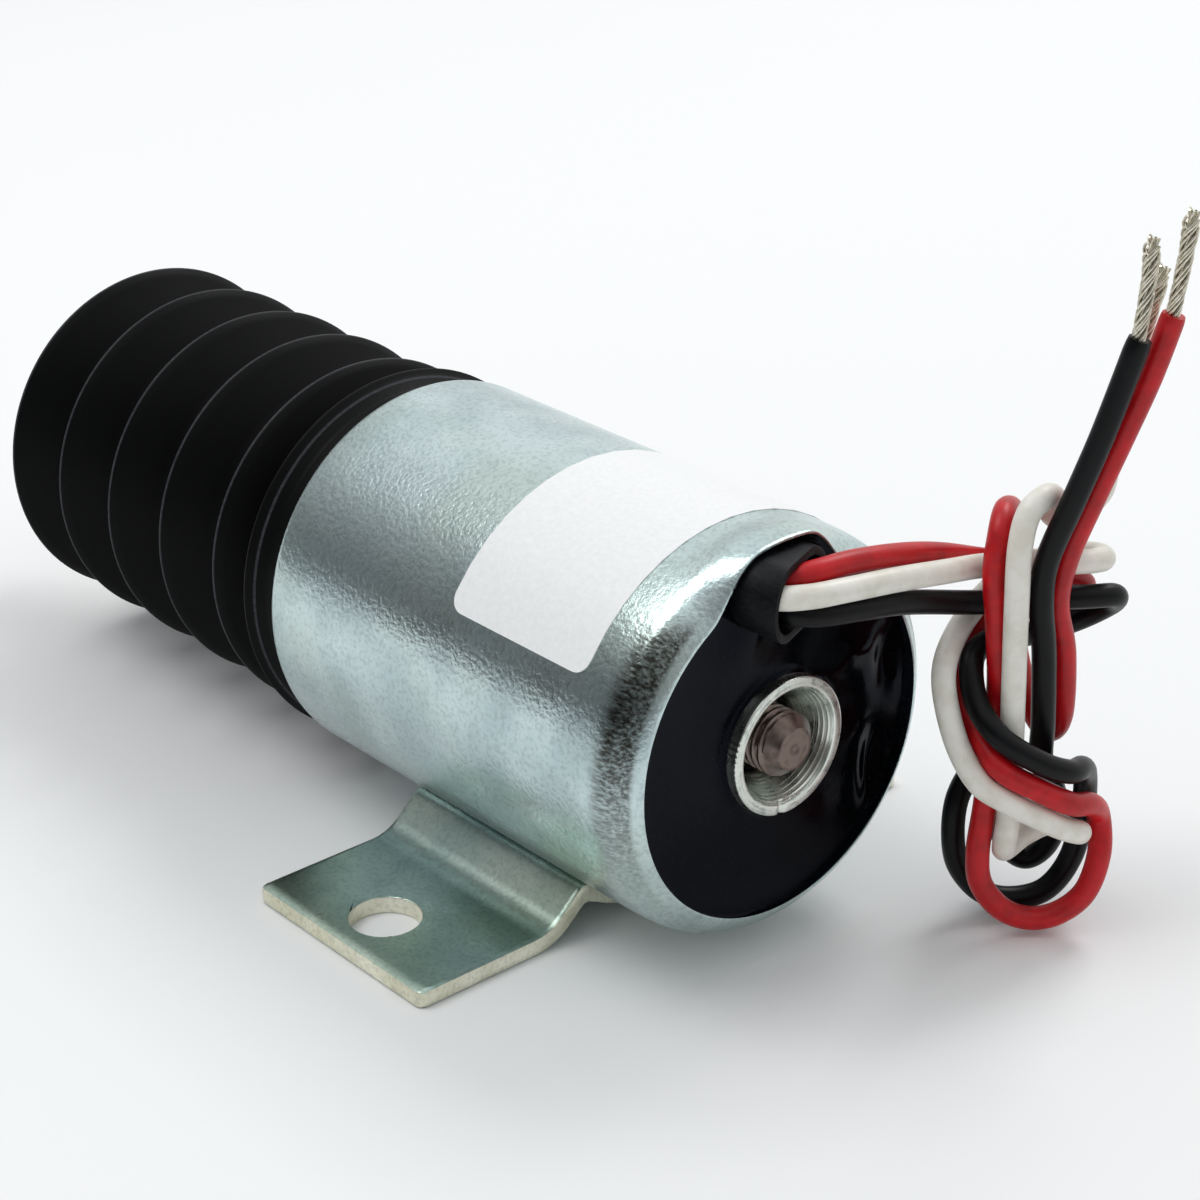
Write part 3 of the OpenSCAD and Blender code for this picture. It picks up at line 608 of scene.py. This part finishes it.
def body_shell_grid():
    """The shell's closed section, outside to the lip and back inside, at each angle."""
    turn = full_turn(480)[None, :]
    outer_x = np.concatenate([X_FRONT + np.array([0.15, 0.6]),
                              np.linspace(X_FRONT + 1, X_REAR - 8, 14),
                              np.linspace(X_REAR - 7.5, X_REAR - 0.35, 30)])
    inset = np.concatenate([[0.25, 0.05], np.zeros(len(outer_x) - 2)])
    edge_x = X_REAR - np.array([0.1, 0.0, 0.0, 0.1, 0.35])
    edge_in = np.array([0.05, 0.14, 0.36, 0.46, 0.52])
    inner_x = np.concatenate([np.linspace(X_REAR - 0.6, X_REAR - 7.5, 16),
                              np.linspace(X_REAR - 12, X_FRONT + 0.6, 6), [X_FRONT, X_FRONT]])
    inner_in = np.full(len(inner_x), SHELL_WALL)
    inner_in[:8] = np.linspace(0.6, SHELL_WALL, 8)
    inner_in[-1] = 0.5
    x = np.concatenate([outer_x, edge_x, inner_x])[:, None]
    depth = np.concatenate([inset, edge_in, inner_in])[:, None]
    return meshed(around(x, shell_radius(x, turn) - depth, turn))


# ---------------------------------------------------------------- potting, core, sleeve
# how high the resin climbs the lip and the core, and over what distance
WET_LIP = (0.55, 0.7)
WET_CORE = (0.4, 0.6)
# uneven spots of the resin: place across and up, half widths, and rise
SINKS = ((-5.0, 15.0, 3.742, 3.742, 0.5), (17.4, 5.0, 1.6, 3.6, -0.5),
         (15.6, -8.5, 1.5, 4.2, -0.55), (11.5, 7.0, 3.4, 1.7, 0.32), (13.0, -3.0, 3.0, 2.4, 0.3),
         (-12.0, 9.0, 5.0, 6.0, -0.25))


def potting_grid():
    """Resin face with a raised edge where it wets the lip and the core, and the
    bell-shaped sinks and humps it set with; straight sides behind it."""
    turn = full_turn(360)[None, :]
    rim = shell_radius(np.full_like(turn, POT_X + 0.2), turn) - 0.5
    share = np.concatenate([np.linspace(0, 0.08, 6), np.linspace(0.12, 0.9, 40),
                            np.linspace(0.92, 1, 9)])[:, None]
    r = COLLAR_R - 0.1 + (rim - COLLAR_R + 0.1) * share
    y = r * np.cos(turn)
    z = r * np.sin(turn)
    wet = (WET_LIP[0] * np.exp(-(rim - r) / WET_LIP[1])
           + WET_CORE[0] * np.exp(-(r - COLLAR_R) / WET_CORE[1]))
    uneven = 0
    for at_y, at_z, wide, tall, rise in SINKS:
        uneven = uneven + rise * np.exp(-((y - at_y) / wide) ** 2 - ((z - at_z) / tall) ** 2)
    face = around(POT_X - 0.25 + wet + uneven * blend_step(22, 20.5, r), r, turn)
    back = [around(x, rr, turn) for x, rr in
            ((POT_X - 2, rim[0] + 0.2), (PLATE_X, rim[0] * 0 + BODY_R - SHELL_WALL - 0.1),
             (PLATE_X, rim[0] * 0 + COLLAR_R - 0.1))]
    return meshed(np.concatenate([face] + back))


def core_grid():
    """The fixed core, turned: pole face, body, and the collar with its cone,
    whose rim has a nick at the bottom and fine chatter marks on one side."""
    cone_start = COLLAR_X - RIM_FLAT
    profile = rounded([
        (core_low[0], CORE_BORE_R), (core_low[0], CORE_R - 0.7), (core_low[0] + 0.6, CORE_R),
        (PLATE_X - 6, CORE_R), (PLATE_X - 6, SPIGOT_R), (PLATE_X, SPIGOT_R), (PLATE_X, COLLAR_R),
        (COLLAR_X, COLLAR_R), (COLLAR_X, CONE_TOP_R + 0.2), (cone_start, CONE_TOP_R),
        (cone_start - CONE_DEEP, CONE_END_R), (BUSH_X, CONE_END_R), (BUSH_X, CORE_BORE_R),
        (core_low[0] + 1, CORE_BORE_R)], 0.3, 4)
    cone_x = np.linspace(cone_start - 0.1, cone_start - CONE_DEEP + 0.1, 60)
    cone_r = CONE_TOP_R - (cone_start - cone_x) * (CONE_TOP_R - CONE_END_R) / CONE_DEEP
    cone_r += 0.02 * np.sin(cone_x * 2 * math.pi / 0.52) + 0.012 * np.sin(cone_x * 11)
    first = np.argmax((profile[:, 1] < CONE_TOP_R + 0.05) & (profile[:, 0] < cone_start - 0.05)
                      & (profile[:, 0] > BUSH_X + 1))
    profile = np.concatenate([profile[:first], np.stack([cone_x, cone_r], axis=1),
                              profile[first + 1:]])
    turn = full_turn(360)[None, :]
    x = profile[:, None, 0] + 0 * turn
    r = profile[:, None, 1] + 0 * turn
    rim = blend_step(COLLAR_X - 0.9, COLLAR_X - 0.2, x) * blend_step(7.6, 8.4, r)
    from_bottom = np.abs(turn - math.radians(262))
    nick = np.exp(-(from_bottom / 0.05) ** 2) * blend_step(COLLAR_X - 0.9, COLLAR_X - 0.2, x)
    chatter = np.cos(turn * 75) * np.exp(-((turn - math.radians(172)) / 0.3) ** 2)
    return meshed(around(x - 0.45 * nick * (r > 6.9), r - 0.05 * rim * chatter, turn))


def threaded_rod(x0, x1, radius, start, end, chamfer):
    """A shank from x0 to x1 with a helical thread from start to end: the radius
    drops by a rounded saw of the distance along the helix."""
    x = np.concatenate([[x0], np.arange(x0, x1 - chamfer, 0.12), [x1 - chamfer]])[:, None]
    turn = full_turn(96)[None, :]
    phase = ((x - start) / THREAD_PITCH - turn / (2 * math.pi)) % 1
    saw = blend_step(0.12, 0.46, phase) * (1 - blend_step(0.54, 0.88, phase))
    cut = blend_step(start, start + 0.8, x) * (1 - blend_step(end - 0.3, end, x))
    r = radius - THREAD_DEPTH * saw * cut
    tip_r = radius - chamfer
    caps = [around(x1, tip_r + 0 * turn, turn), around(x1, tip_r * 0.5 + 0 * turn, turn),
            around(x1, 0 * turn, turn)]
    return meshed(np.concatenate([around(x0, 0 * turn, turn), around(x, r, turn)] + caps),
                  wrap_rows=False)


def sleeve_grid():
    """A flattened tube: its stadium section leans sideways by a parabola past
    the potting, and its mouth is cut on a slant. Outer wall, rim, inner wall."""
    count = 40
    half = np.linspace(-math.pi / 2, math.pi / 2, count)

    def section(radius):
        right = np.stack([SLEEVE_C + radius * np.cos(half), radius * np.sin(half)], axis=1)
        return np.concatenate([right, -right])

    outer = section(SLEEVE_R)
    inner = section(SLEEVE_R - SLEEVE_WALL)
    middle = section(SLEEVE_R - SLEEVE_WALL / 2)
    along = np.linspace(0, 1, 26)

    def wall(edge, share):
        mouth = X_REAR + SLEEVE_OUT - MOUTH_SLOPE * (edge[None, :, 0] + SLEEVE_C + SLEEVE_R)
        x = PLATE_X + share[:, None] * (mouth - PLATE_X)
        lean = SLEEVE_LEAN * np.maximum(x - POT_X, 0) ** 2
        drop = SLEEVE_DROP * np.maximum(x - POT_X, 0) ** 2
        return np.stack([x, SLEEVE_Y + edge[None, :, 0] + lean,
                         AXIS_H + SLEEVE_Z + edge[None, :, 1] - drop], axis=-1)

    return meshed(np.concatenate([wall(outer, along), wall(middle, np.array([1.012])),
                                  wall(inner, along[::-1])]))


# ---------------------------------------------------------------- boot
CREST_R = 24.3
VALLEY_R = 17.6
FOLDS = 4
FOLD_PITCH = 12.6
BOOT_WALL = 1.3
CUFF_X = X_FRONT - 6
FIRST_CREST = CUFF_X - 8.4
LAST_CREST = FIRST_CREST - FOLDS * FOLD_PITCH
NECK_X = LAST_CREST - 4.5      # where the last fold meets the neck
FOLD_START = CUFF_X - 0.6
NOSE_R = 8
CREST_HIGHLIGHT_WEAR_BAND = 0.11               # half width of the painted highlight line, also rubbed wear, on each crest


def folds_profile():
    """One side of the bellows: each fold is two nearly straight flanks between a
    narrow rounded crest with a raised seam and a rounded valley."""
    outer = [(FOLD_START, BODY_R - 0.9), (CUFF_X - 3, VALLEY_R + 2.6),
             (CUFF_X - 4.2, VALLEY_R + 1.6), (CUFF_X - 5.2, VALLEY_R + 2.4)]
    inner = [(FOLD_START, BODY_R - 3), (CUFF_X - 4.2, VALLEY_R + 0.4)]
    for k in range(FOLDS + 1):
        crest = FIRST_CREST - k * FOLD_PITCH
        outer += [(crest + 1.0, CREST_R - 0.75), (crest + 0.32, CREST_R - 0.16),
                  (crest, CREST_R), (crest - 0.32, CREST_R - 0.16), (crest - 1.0, CREST_R - 0.75)]
        inner += [(crest + 0.3, CREST_R - BOOT_WALL - 0.6), (crest - 0.3, CREST_R - BOOT_WALL - 0.6)]
        if k < FOLDS:
            low = crest - FOLD_PITCH / 2
            outer += [(low + 1.6, VALLEY_R + 1.1), (low, VALLEY_R - 0.1),
                      (low - 1.6, VALLEY_R + 1.1)]
            inner += [(low + 0.4, VALLEY_R - BOOT_WALL), (low - 0.4, VALLEY_R - BOOT_WALL)]
    outer += [(NECK_X + 0.4, NOSE_R + 4.6), (NECK_X, NOSE_R + 3.2)]
    inner += [(NECK_X + 1, NOSE_R + 1.2), (NECK_X, NOSE_R + 0.6)]
    return outer + inner[::-1]


def build_boot(rubber):
    """The cuff and the folds on the body, and the neck on the plunger's nose; the three meet edge to
    edge."""
    cuff = rounded([(X_FRONT - 0.05, BODY_R - 2.0), (CUFF_X + 2.4, BODY_R - 2.1),
                    (CUFF_X + 0.7, BODY_R - 0.8), (CUFF_X + 0.15, BODY_R - 0.2),
                    (CUFF_X - 0.25, BODY_R - 0.35), (FOLD_START, BODY_R - 0.9),
                    (FOLD_START, BODY_R - 3.6), (X_FRONT - 0.05, BODY_R - 3.8)], 0.3)
    add_piece("boot_cuff", turned(cuff), rubber, BODY, "dust_boot")
    folds = add_piece("boot_folds", turned(rounded(folds_profile(), 0.7, 6)), rubber, BODY,
                      "dust_boot", crease=80)
    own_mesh(folds)
    neck = rounded([(NECK_X, NOSE_R + 3.2), (NECK_X - 0.5, NOSE_R + 2.2),
                    (BOOT_END, NOSE_R + 2.2), (BOOT_END, NOSE_R), (NECK_X, NOSE_R)], 0.4)
    add_piece("boot_neck", turned(neck), rubber, MOVER, "dust_boot")


# ---------------------------------------------------------------- bracket and label
foot_low, foot_high = span("mounting_bracket")
PLATE_T = 2.3
PLATE_W = foot_high[0] - foot_low[0]
FOOT_REACH = foot_high[1]
HOLE_Y = 32.7
HOLE_R = 4.45
FOOT_Y = 22.5
BEND_R = 6
WALL_SLOPE = math.radians(42)
EDGE_R = 0.5                   # softened by the press and the plating
CORNER_R = 1.2
QUARTER_IN = 0.15              # how far a quarter round of EDGE_R stands back halfway
HOLE_BREAK = 0.18
SHEARED = 0.45                 # upward share of the normal under which a face is an edge


def bracket_face(inset, reach_out):
    """One face of the bent plate as a line in (y, z) from the middle out to the
    foot: saddle arc, rounded crest, straight wall, bend and flat foot."""
    axis = np.array([0, AXIS_H])
    start = np.array([FOOT_Y - (BEND_R + inset) * math.sin(WALL_SLOPE),
                      PLATE_T + BEND_R - (BEND_R + inset) * math.cos(WALL_SLOPE)])
    rise = np.array([-math.cos(WALL_SLOPE), math.sin(WALL_SLOPE)])
    reach = BODY_R + 0.02 + inset
    q = start - axis
    m = q @ rise
    corner = start + (-m - math.sqrt(m * m - q @ q + reach ** 2)) * rise
    crest = math.atan2(corner[0], AXIS_H - corner[1])
    a = np.linspace(0, crest, 30)
    arc = np.stack([reach * np.sin(a), AXIS_H - reach * np.cos(a)], axis=1)
    wall = corner + (start - corner) * np.linspace(0, 1, 12)[1:, None]
    b = WALL_SLOPE * np.linspace(1, 0, 16)[1:]
    bend = np.stack([FOOT_Y - (BEND_R + inset) * np.sin(b),
                     PLATE_T + BEND_R - (BEND_R + inset) * np.cos(b)], axis=1)
    foot_y = np.linspace(FOOT_Y, reach_out - EDGE_R, 12)[1:]
    foot = np.stack([foot_y, np.full(len(foot_y), PLATE_T - inset)], axis=1)
    line = np.concatenate([arc, wall, bend, foot])
    # the crest is bent, not cut: soften it by averaging along the line near it
    for _ in range(6):
        near = slice(22, 40)
        line[near] = 0.25 * line[21:39] + 0.5 * line[near] + 0.25 * line[23:41]
    return line


def bracket_loop(inset, reach_out):
    """The whole section: upper face, rounded outer edges and lower face, starting
    at the middle of one outer edge so that it pairs with itself across the plate."""
    top = bracket_face(inset, reach_out)
    under = bracket_face(PLATE_T - inset, reach_out)
    rim = np.array([(reach_out, PLATE_T - inset - EDGE_R),
                    (reach_out - QUARTER_IN, PLATE_T - inset - QUARTER_IN)])
    low_rim = rim * (1, -1) + (0, PLATE_T)
    flip = (-1, 1)
    return np.concatenate([rim, top[::-1], top[1:] * flip, rim[::-1] * flip, low_rim * flip,
                           under[:0:-1] * flip, under, low_rim[::-1]])


def bracket_grid():
    """The section carried along the plate's width. It draws in by a quarter round
    at the two ends, and the feet's corners are quarter rounds too."""
    half = PLATE_W / 2
    side = np.array([half, half - QUARTER_IN, half - EDGE_R, half - 0.8, half - CORNER_R])
    x = np.concatenate([-side, np.linspace(CORNER_R + 1.6 - half, half - CORNER_R - 1.6, 18),
                        side[::-1]])
    inset = np.zeros(len(x))
    inset[:2] = inset[:-3:-1] = (EDGE_R, QUARTER_IN)
    past = np.clip(np.abs(x) - (half - CORNER_R), 0, CORNER_R)
    reach_out = FOOT_REACH - CORNER_R + np.sqrt(CORNER_R ** 2 - past ** 2 + 1e-9)
    reach_out[0] = reach_out[-1] = FOOT_REACH - CORNER_R + 0.2
    loops = np.stack([bracket_loop(d, r) for d, r in zip(inset, reach_out)])
    return meshed(np.concatenate([np.broadcast_to(x[:, None, None], loops.shape[:2] + (1,)),
                                  loops], axis=-1), wrap_rows=False)


def build_bracket(material, edge_and_highlight_material):
    """The bent plate, closed at its two ends, with its holes bored. Faces steeper than 63 degrees are
    the sheared edges and the holes' walls; they get a paler, less metallic finish, partly the cut
    edge's own tone and partly a painted highlight."""
    points, faces = bracket_grid()
    count = points.shape[1]
    row = np.arange(count // 2 - 1)
    ends = []
    for first in (0, (points.shape[0] - 1) * count):
        ends.append(np.stack([first + row, first + row + 1, first + count - 2 - row,
                              first + count - 1 - row], axis=1))
    obj = add_piece("bent_bracket", (points, np.concatenate([faces] + ends)), material, BODY,
                    "mounting_bracket", crease=30)
    for side in (-1, 1):
        drill_mesh = bpy.data.meshes.new("drill")
        work = bmesh.new()
        bmesh.ops.create_cone(work, cap_ends=True, segments=96, radius1=HOLE_R * MM,
                              radius2=HOLE_R * MM, depth=0.02)
        bmesh.ops.translate(work, verts=work.verts, vec=(0, side * HOLE_Y * MM, 0))
        work.to_mesh(drill_mesh)
        work.free()
        cut = obj.modifiers.new("hole", "BOOLEAN")
        cut.object = new_object("drill", drill_mesh)
        cut.operation = "DIFFERENCE"
        cut.solver = "EXACT"
    soften = obj.modifiers.new("edges", "BEVEL")
    soften.width = HOLE_BREAK * MM
    soften.segments = 2
    soften.use_clamp_overlap = False
    soften.limit_method = "ANGLE"
    soften.angle_limit = math.radians(50)
    soften.harden_normals = True
    bake_modifiers(obj)
    for drill in [o for o in bpy.data.objects if o.name.startswith("drill")]:
        bpy.data.objects.remove(drill)
    # the steep faces take the paler edge finish, which is partly a painted highlight
    obj.data.materials.append(edge_and_highlight_material)
    normals = np.empty(len(obj.data.polygons) * 3, np.float32)
    obj.data.polygons.foreach_get("normal", normals)
    sheared = np.abs(normals.reshape(-1, 3)[:, 2]) < SHEARED
    obj.data.polygons.foreach_set("material_index", sheared.astype(np.int32))


def bake_modifiers(obj):
    """Replace a piece's mesh by the result of its modifiers."""
    graph = bpy.context.evaluated_depsgraph_get()
    mesh = bpy.data.meshes.new_from_object(obj.evaluated_get(graph))
    obj.modifiers.clear()
    obj.data = mesh


LABEL_X = (1.0, 25.0)
LABEL_TURN = (math.radians(29.5), math.radians(150.5))
LABEL_CORNER = 2.1
LABEL_T = 0.12


def label_grid():
    """A sheet with round corners, laid out flat as shrinking copies of its
    outline and then wrapped on the shell; the two faces share their edge."""
    half_x = (LABEL_X[1] - LABEL_X[0]) / 2
    half_s = (LABEL_TURN[1] - LABEL_TURN[0]) / 2 * BODY_R
    corner = np.linspace(0, math.pi / 2, 9)
    arc = np.stack([np.cos(corner), np.sin(corner)], axis=1) * LABEL_CORNER
    parts = []
    for sx, sy, flip in ((1, 1, 1), (-1, 1, -1), (-1, -1, 1), (1, -1, -1)):
        part = (np.array([half_x, half_s]) - LABEL_CORNER + arc) * (sx, sy)
        parts.append(part[::flip])
    corners = np.concatenate(parts)
    outline = np.concatenate([np.linspace(a, b, 14, endpoint=False) if np.linalg.norm(a - b) > 5
                              else a[None] for a, b in zip(corners, np.roll(corners, -1, axis=0))])
    scale = np.concatenate([[1.0], np.linspace(0.99, 0, 30)])[:, None, None]
    flat = outline[None] * scale
    x = (LABEL_X[0] + LABEL_X[1]) / 2 + flat[..., 0]
    turn = (LABEL_TURN[0] + LABEL_TURN[1]) / 2 + flat[..., 1] / BODY_R
    top = around(x, BODY_R + LABEL_T, turn)
    under = around(x, BODY_R + 0.005, turn)
    # the hidden middle comes first so that the two faces are one closed sheet
    return meshed(np.concatenate([under[::-1], top]), wrap_rows=False)


# ---------------------------------------------------------------- nose fittings and spring
NUT_FLATS = 14.28
NUT_BORE_R = 4.46
SPRING_R = 13.2
SPRING_WIRE_R = 0.9
SPRING_TURNS = 8


def hex_nut_grid(x0, x1):
    """A nut: at each angle the radius is the hexagon's, cut back near the two
    faces by a 30 degree chamfer."""
    turn = full_turn(192)[None, :]
    hexagon = NUT_FLATS / 2 / np.cos((turn + math.pi / 6) % (math.pi / 3) - math.pi / 6)
    x = np.concatenate([[x0, x0], np.linspace(x0, x0 + 1, 6), np.linspace(x1 - 1, x1, 6), [x1, x1]])
    depth = np.minimum(x - x0, x1 - x)[:, None]
    cap = NUT_FLATS / 2 * 0.97 + depth * math.tan(math.radians(60))
    r = np.minimum(hexagon, cap)
    r[1] = r[2] * 0.85
    r[-2] = r[-3] * 0.85
    r[0] = r[-1] = NUT_BORE_R
    return meshed(around(x[:, None], r, turn))


def spring_line(x0, x1, radius, turns):
    """Centre line of a compression spring with closed ends."""
    f = np.linspace(0, 1, int(turns * 40))
    ends = np.where(f < 0.1, f * f * 5, np.where(f > 0.9, 1 - (1 - f) ** 2 * 5,
                                                  0.05 + (f - 0.1) * 0.9 / 0.8))
    return around(x0 + (x1 - x0) * ends, radius, 2 * math.pi * turns * f)


# ---------------------------------------------------------------- put it together
shell_zinc = zinc_plate("zinc plated tube", "#B9CBCE", "#CADBDD", "#F4F4E6", rolled_edge=True)
bracket_zinc = zinc_plate("zinc plated bracket", "#9FB3AE", "#B6C6BE", "#F4F4DE", depth_mm=0.02)
# paler cut edges: their own tone, and a painted highlight
edge_zinc_and_highlight = zinc_plate("zinc plated sheared edge with painted highlight", "#D6D4BE", "#F2F0E0", "#FFFFF4", depth_mm=0.03,
                       metallic=0.6)
rubber = moulded_rubber()
sleeving = sleeve_rubber()
resin = poured_epoxy()
film = label_film()
core_steel = turned_steel("turned core steel", "#A9B0AC", "#DFE4DD", 0.35)
rod_steel = turned_steel("rolled rod steel", "#5A4E49", "#7E716A", 0.7, (0.26, 0.34), (0.7, 1.0))

add_piece("rolled_shell", body_shell_grid(), shell_zinc, BODY, "body_shell")
add_piece("resin_face", potting_grid(), resin, BODY, "rear_potting", crease=60)
add_piece("core_collar", core_grid(), core_steel, BODY, "fixed_core", crease=50)
add_piece("rubber_sleeve", sleeve_grid(), sleeving, BODY, "lead_sleeve")
add_piece("blank_label", label_grid(), film, BODY, "label_blank")
build_bracket(bracket_zinc, edge_zinc_and_highlight)
build_boot(rubber)

add_piece("threaded_push_rod",
          threaded_rod(rod_low[0], rod_high[0], ROD_R, start=BUSH_X + 3,
                       end=rod_high[0] - 1.1, chamfer=1.35),
          rod_steel, MOVER, "push_rod")
stud_low, stud_high = span("plunger_stud")
stud = threaded_rod(-stud_high[0], -stud_low[0], stud_high[1], start=-stud_high[0],
                    end=-stud_low[0] - 0.9, chamfer=1.0)
add_piece("threaded_stud", (stud[0] * (-1, 1, 1), stud[1]), rod_steel, MOVER, "plunger_stud")
nut_low, nut_high = span("jam_nut")
nut_zinc = zinc_plate("zinc plated fittings", "#9AA29C", "#D8DDD4", "#F4F0D2", depth_mm=0.03)
add_piece("hex_nut", hex_nut_grid(nut_low[0], nut_high[0]), nut_zinc, MOVER,
          "jam_nut")

spring_low, spring_high = span("return_spring")
spring_steel = plain_finish("music wire", "#5C5B58", "#8F8E8A", 0.8, 0.38, 1.0)
wire = add_wires("coil_spring",
                 [spring_line(spring_low[0] + 0.92, spring_high[0] - 0.92, SPRING_R, SPRING_TURNS)],
                 [SPRING_WIRE_R], spring_steel, BODY, "return_spring", sides=3)
spring_mesh = bpy.data.meshes.new_from_object(
    wire.evaluated_get(bpy.context.evaluated_depsgraph_get()))
spring = new_object("return_coil", spring_mesh)
bpy.data.objects.remove(wire)
finish_piece(spring, "return_coil", spring_steel, BODY, "return_spring")
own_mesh(spring)

machined = turned_steel("machined steel", "#7C7D7B", "#B9BBB7", 0.4, (0.3, 0.44))
turned_aluminium = turned_steel("turned aluminium", "#A9ABAD", "#D4D6D8", 0.35, (0.28, 0.4))
nylon = plain_finish("moulded nylon", "#17181A", "#26272A", 1.2, 0.5)
copper = plain_finish("enamelled copper", "#7A3A1B", "#B0602F", 0.5, 0.3, 1.0)
tape = plain_finish("cloth tape", "#B8A363", "#D8C88C", 0.8, 0.7)
drawn_brass = plain_finish("drawn brass", "#A68A43", "#D0B56A", 0.9, 0.3, 1.0)
bronze = plain_finish("sintered bronze", "#7C5C30", "#A9834B", 0.4, 0.5, 1.0)
black_oxide = plain_finish("black oxide steel", "#1B1B1C", "#3A3A3B", 0.7, 0.42, 1.0)

CARRIED = {
    "front_plate": machined, "boot_collar": turned_aluminium, "rear_plate": machined,
    "plunger": machined, "bobbin": nylon, "pull_coil": copper, "hold_coil": copper,
    "coil_wrap": tape, "guide_tube": drawn_brass, "stop_shim": drawn_brass,
    "rod_bushing": bronze, "rod_stop_ring": black_oxide, "seat_ring": black_oxide,
    "spring_seat": nut_zinc, "lock_washer": nut_zinc, "boot_neck_clamp": nut_zinc,
}
for node, material in CARRIED.items():
    mesh = frame["nodes"][node].data
    mesh.materials.clear()
    mesh.materials.append(material)


# ---------------------------------------------------------------- floor and light
def stage_mesh(name, points, faces, material):
    """A piece of the studio, in metres."""
    mesh = bpy.data.meshes.new(name)
    mesh.from_pydata(np.reshape(points, (-1, 3)).tolist(), [], np.reshape(faces, (-1, 4)).tolist())
    mesh.materials.append(material)
    obj = new_object(name, mesh)
    return obj


def build_studio():
    """A pale paper floor, a pale room, a grey screen that polished metal shows as
    the dark band of its reflection, and two soft lamps."""
    paper = new_material("matt paper", "#F7F8F8", Roughness=0.9)[0]
    stage_mesh("floor", [(-3, -3, 0), (3, -3, 0), (3, 3, 0), (-3, 3, 0)], [(0, 1, 2, 3)], paper)

    # the screen stands round the table: dark low down and on the -Y side, pale elsewhere
    screen, tree, shader, place = new_material("grey screen")
    apart = add(tree, "ShaderNodeSeparateXYZ", {"Vector": place})
    raised = add(tree, "ShaderNodeMath", {0: apart.outputs["Z"], 1: 1 / 3, 2: 0.4},
                 operation="MULTIPLY_ADD")
    height = add(tree, "ShaderNodeMath", {0: apart.outputs["Y"], 1: 0.4, 2: raised},
                 operation="MULTIPLY_ADD")
    tone = add(tree, "ShaderNodeValToRGB", {"Fac": height},
               [(0.0, 0.05), (0.86, 0.95), (0.1, 0.08), (0.33, 0.3), (0.68, 0.55)])
    glow = add(tree, "ShaderNodeEmission", {"Color": tone, "Strength": 1.0})
    output = next(node for node in tree.nodes if node.type == "OUTPUT_MATERIAL")
    fill(tree, output, {"Surface": glow})
    turn = full_turn(64)
    ring = np.array([np.stack([1.2 * np.cos(turn), 1.2 * np.sin(turn), np.full(64, z)], axis=1)
                     for z in (0.005, 2.0)])
    wall = stage_mesh("screen", *meshed(ring, wrap_rows=False), screen)
    for ray in ("camera", "diffuse", "transmission", "shadow"):
        setattr(wall, f"visible_{ray}", False)

    world = bpy.data.worlds.new("room")
    bpy.context.scene.world = world
    world.use_nodes = True
    tree = world.node_tree
    tree.nodes.clear()
    seen = add(tree, "ShaderNodeLightPath", {})
    share = seen.outputs["Is Camera Ray"]
    for ray in ("Is Glossy Ray", "Is Transmission Ray"):
        share = add(tree, "ShaderNodeMath", {0: share, 1: seen.outputs[ray]}, operation="MAXIMUM")
    room = add(tree, "ShaderNodeBackground", {"Color": "#F3F5F7", "Strength": 0.58})
    white = add(tree, "ShaderNodeBackground", {"Color": "#F3F5F6", "Strength": 1.0})
    pick = add(tree, "ShaderNodeMixShader", {0: share, 1: room, 2: white})
    add(tree, "ShaderNodeOutputWorld", {"Surface": pick})

    for name, at, size, power in (("softbox", (-0.28, -0.36, 0.9), 0.55, 2.9),
                                  ("back", (-0.22, 0.9, 1.2), 0.6, 7.0)):
        lamp = bpy.data.lights.new(name, "AREA")
        lamp.size = size
        lamp.energy = power
        obj = new_object(name, lamp)
        obj.location = at
        obj.rotation_mode = "QUATERNION"
        aim = Vector((0, 0, 0.03)) - Vector(at)
        obj.rotation_quaternion = aim.to_track_quat("-Z", "Y")


build_studio()
bpy.context.scene.view_settings.view_transform = "Standard"
